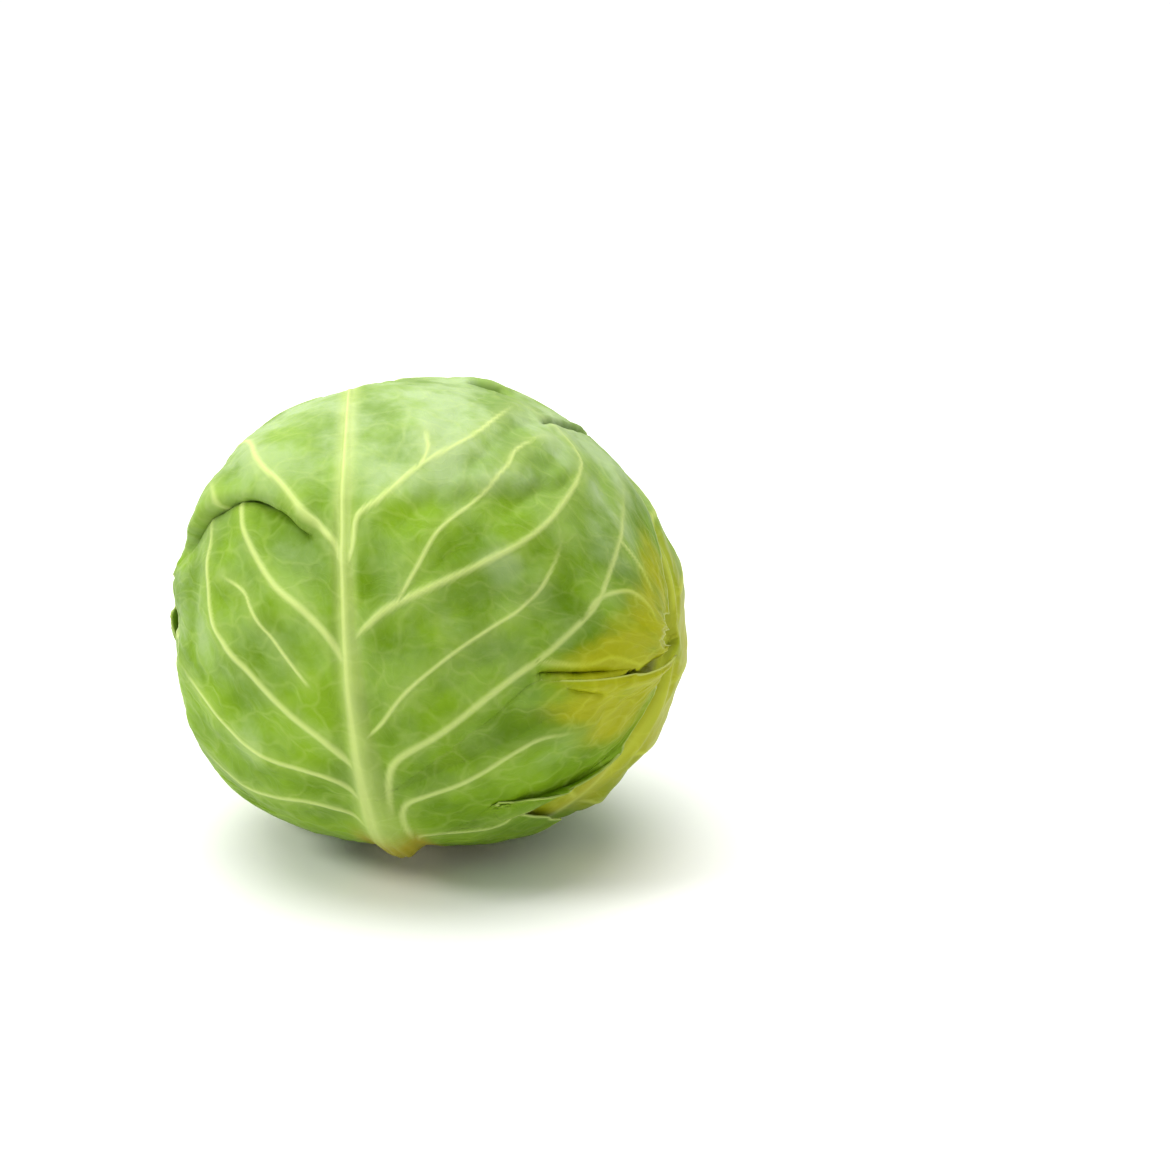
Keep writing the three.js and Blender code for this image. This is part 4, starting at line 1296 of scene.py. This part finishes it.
def stalk_material():
    """Pale pith, a darker ring of bundles, a greener rind, and fibres that run up the side."""
    material, tree = new_material("cut stalk")
    place = tree.node("ShaderNodeAttribute", {"attribute_name": "stalk_mm"}, output="Vector")
    x, y, z = tree.parts(place)
    from_axis = (x * x + y * y) ** 0.5
    spongy, stains = tree.noise(place, 1.4, 3.0), tree.noise(place, 0.16, 4.0)
    fibres = tree.noise(tree.vector("MULTIPLY", place, (1, 1, 0.08)), 0.9, 3.0)
    base = tree.mix(spongy.step(0.3, 0.7), linear(214, 208, 158), linear(238, 234, 200))
    ring = from_axis.step(6.4, 8.2) * (1 - from_axis.step(9.6, 11.4))
    base = tree.mix(ring * 0.6, base, linear(196, 190, 118))
    base = tree.mix(from_axis.step(10.5, 13.2) * 0.8, base, linear(176, 188, 104))
    side = z.step(CUT_HEIGHT, CUT_HEIGHT + 1.7)
    rind = tree.mix(fibres.step(0.35, 0.65), linear(170, 184, 96), linear(208, 214, 142))
    base = tree.mix(side, base, rind)
    base = tree.mix(stains.step(0.56, 0.74) * 0.45, base, linear(158, 128, 74))
    relief = spongy * 0.6 * (1 - side) + fibres * 0.8 * side
    finish(tree, base, 0.62 + stains * 0.15, relief, (0.6, 0.0006), THROUGH_STALK)
    print("cut stalk:", len(tree.raw.nodes), "nodes")
    return material


STALK = stalk_material()

# %% [markdown]
# The woody bundles stand a hair proud of the cut face, since pith shrinks more as it dries.

# %% The ring of bundles
BUNDLES, BUNDLE_RING, BUNDLE_RADIUS = 24, 0.0082, 0.0008  # how many, m, m
BUNDLE_HEIGHT = -73.1  # mm from the head's centre


def bundle_tree():
    tree, given = new_group("Ring of bundles", [
        ("Count", "Int"), ("Ring radius", "Float"), ("Bead radius", "Float"),
        ("Centre", "Vector"), ("Turn", "Vector"), ("Seed", "Int")])
    circle = tree.node("GeometryNodeMeshCircle", {"fill_type": "NONE"},
                       {"Vertices": given["Count"], "Radius": given["Ring radius"]}, "Mesh")
    bead = tree.node("GeometryNodeMeshIcoSphere", output="Mesh",
                     inputs={"Radius": given["Bead radius"], "Subdivisions": 2})
    size = tree.node("FunctionNodeRandomValue", {"data_type": "FLOAT_VECTOR"},
                     {"Min": (0.7, 0.7, 0.35), "Max": (1.25, 1.0, 0.5), "Seed": given["Seed"]}, "Value")
    beads = tree.node("GeometryNodeInstanceOnPoints",
                      inputs={"Points": circle, "Instance": bead, "Scale": size})
    real = tree.node("GeometryNodeRealizeInstances", inputs={"Geometry": beads})
    placed = tree.node("GeometryNodeTransform", inputs={
        "Geometry": real, "Translation": given["Centre"], "Rotation": given["Turn"]})
    joined = tree.node("GeometryNodeJoinGeometry", output=None)
    tree.raw.links.new(placed.socket, joined.inputs[0])
    tree.raw.links.new(given["Geometry"].socket, joined.inputs[0])
    return end_group(tree, Value(tree, joined.outputs[0]), given["Material"])


stalk = run_tree(body, bundle_tree(), "stalk_dressed", count=BUNDLES, ring_radius=BUNDLE_RING,
                 bead_radius=BUNDLE_RADIUS, centre=in_part(np.array([0, 0, BUNDLE_HEIGHT])).tolist(),
                 turn=[-TILT, ROLL, 0.0], seed=3, material=STALK)
in_head = (rows_of(stalk.data.vertices, "co") / MM - HEAD_CENTRE) @ HEAD_TURN
stalk.data.attributes["stalk_mm"].data.foreach_set("vector", in_head.astype(np.float32).ravel())
print("stalk:", len(stalk.data.polygons), "faces")

# %% [markdown]
# ## Table and light
# The head stands on a plain white table under one big soft light overhead, with white all round,
# as for a catalogue. The bright surroundings fill the shadows, and the light overhead leaves a
# soft one under the head. A smaller light at the left gives the ribs their bright edge.

# %% Table and light
TABLE_HALF = 6  # m
WHITE_ROOM = 0.62  # strength of the light from all round
LIGHTS = [  # name, place, size, watts
    ("overhead", (-0.1, 0.35, 1.4), 2.0, 25.5),
    ("left key", (-1.4, -0.5, 1.2), 0.6, 13),
]


def stage_floor():
    corners = [(-1, -1), (1, -1), (1, 1), (-1, 1)]
    floor = new_mesh_object("table", [(x * TABLE_HALF, y * TABLE_HALF, 0) for x, y in corners],
                            [(0, 1, 2, 3)])
    paper = bpy.data.materials.new("white table")
    paper.use_nodes = True
    shader = paper.node_tree.nodes["Principled BSDF"]
    shader.inputs["Base Color"].default_value = (0.93, 0.93, 0.92, 1)
    shader.inputs["Roughness"].default_value = 0.8
    floor.data.materials.append(paper)
    return floor


def soft_light(name, place, size, watts):
    """A round lamp that faces the head."""
    light = bpy.data.objects.new(name, bpy.data.lights.new(name, "AREA"))
    light.data.shape, light.data.size, light.data.energy = "DISK", size, watts
    bpy.context.scene.collection.objects.link(light)
    light.location = place
    light.rotation_euler = (Vector((0, 0, 0.08)) - Vector(place)).to_track_quat("-Z", "Y").to_euler()
    return light


def white_room():
    world = bpy.data.worlds.new("white room")
    world.use_nodes = True
    sky = world.node_tree.nodes["Background"]
    sky.inputs["Color"].default_value = (1, 1, 1, 1)
    sky.inputs["Strength"].default_value = WHITE_ROOM
    bpy.context.scene.world = world
    view = bpy.context.scene.view_settings
    view.view_transform, view.gamma, view.exposure = "Standard", 0.9, 0.12


floor = stage_floor()
white_room()
lamps = [soft_light(*light) for light in LIGHTS]
print("lights:", [lamp.name for lamp in lamps])

# %% [markdown]
# ## The pieces and their solids
# Every piece rides on the part's one body and stands for its solid, which is hidden.

# %% Pieces and their solids
for node, piece in LEAVES + [("heart", heart), ("stalk", stalk)]:
    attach(piece, "root")
    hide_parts(node)
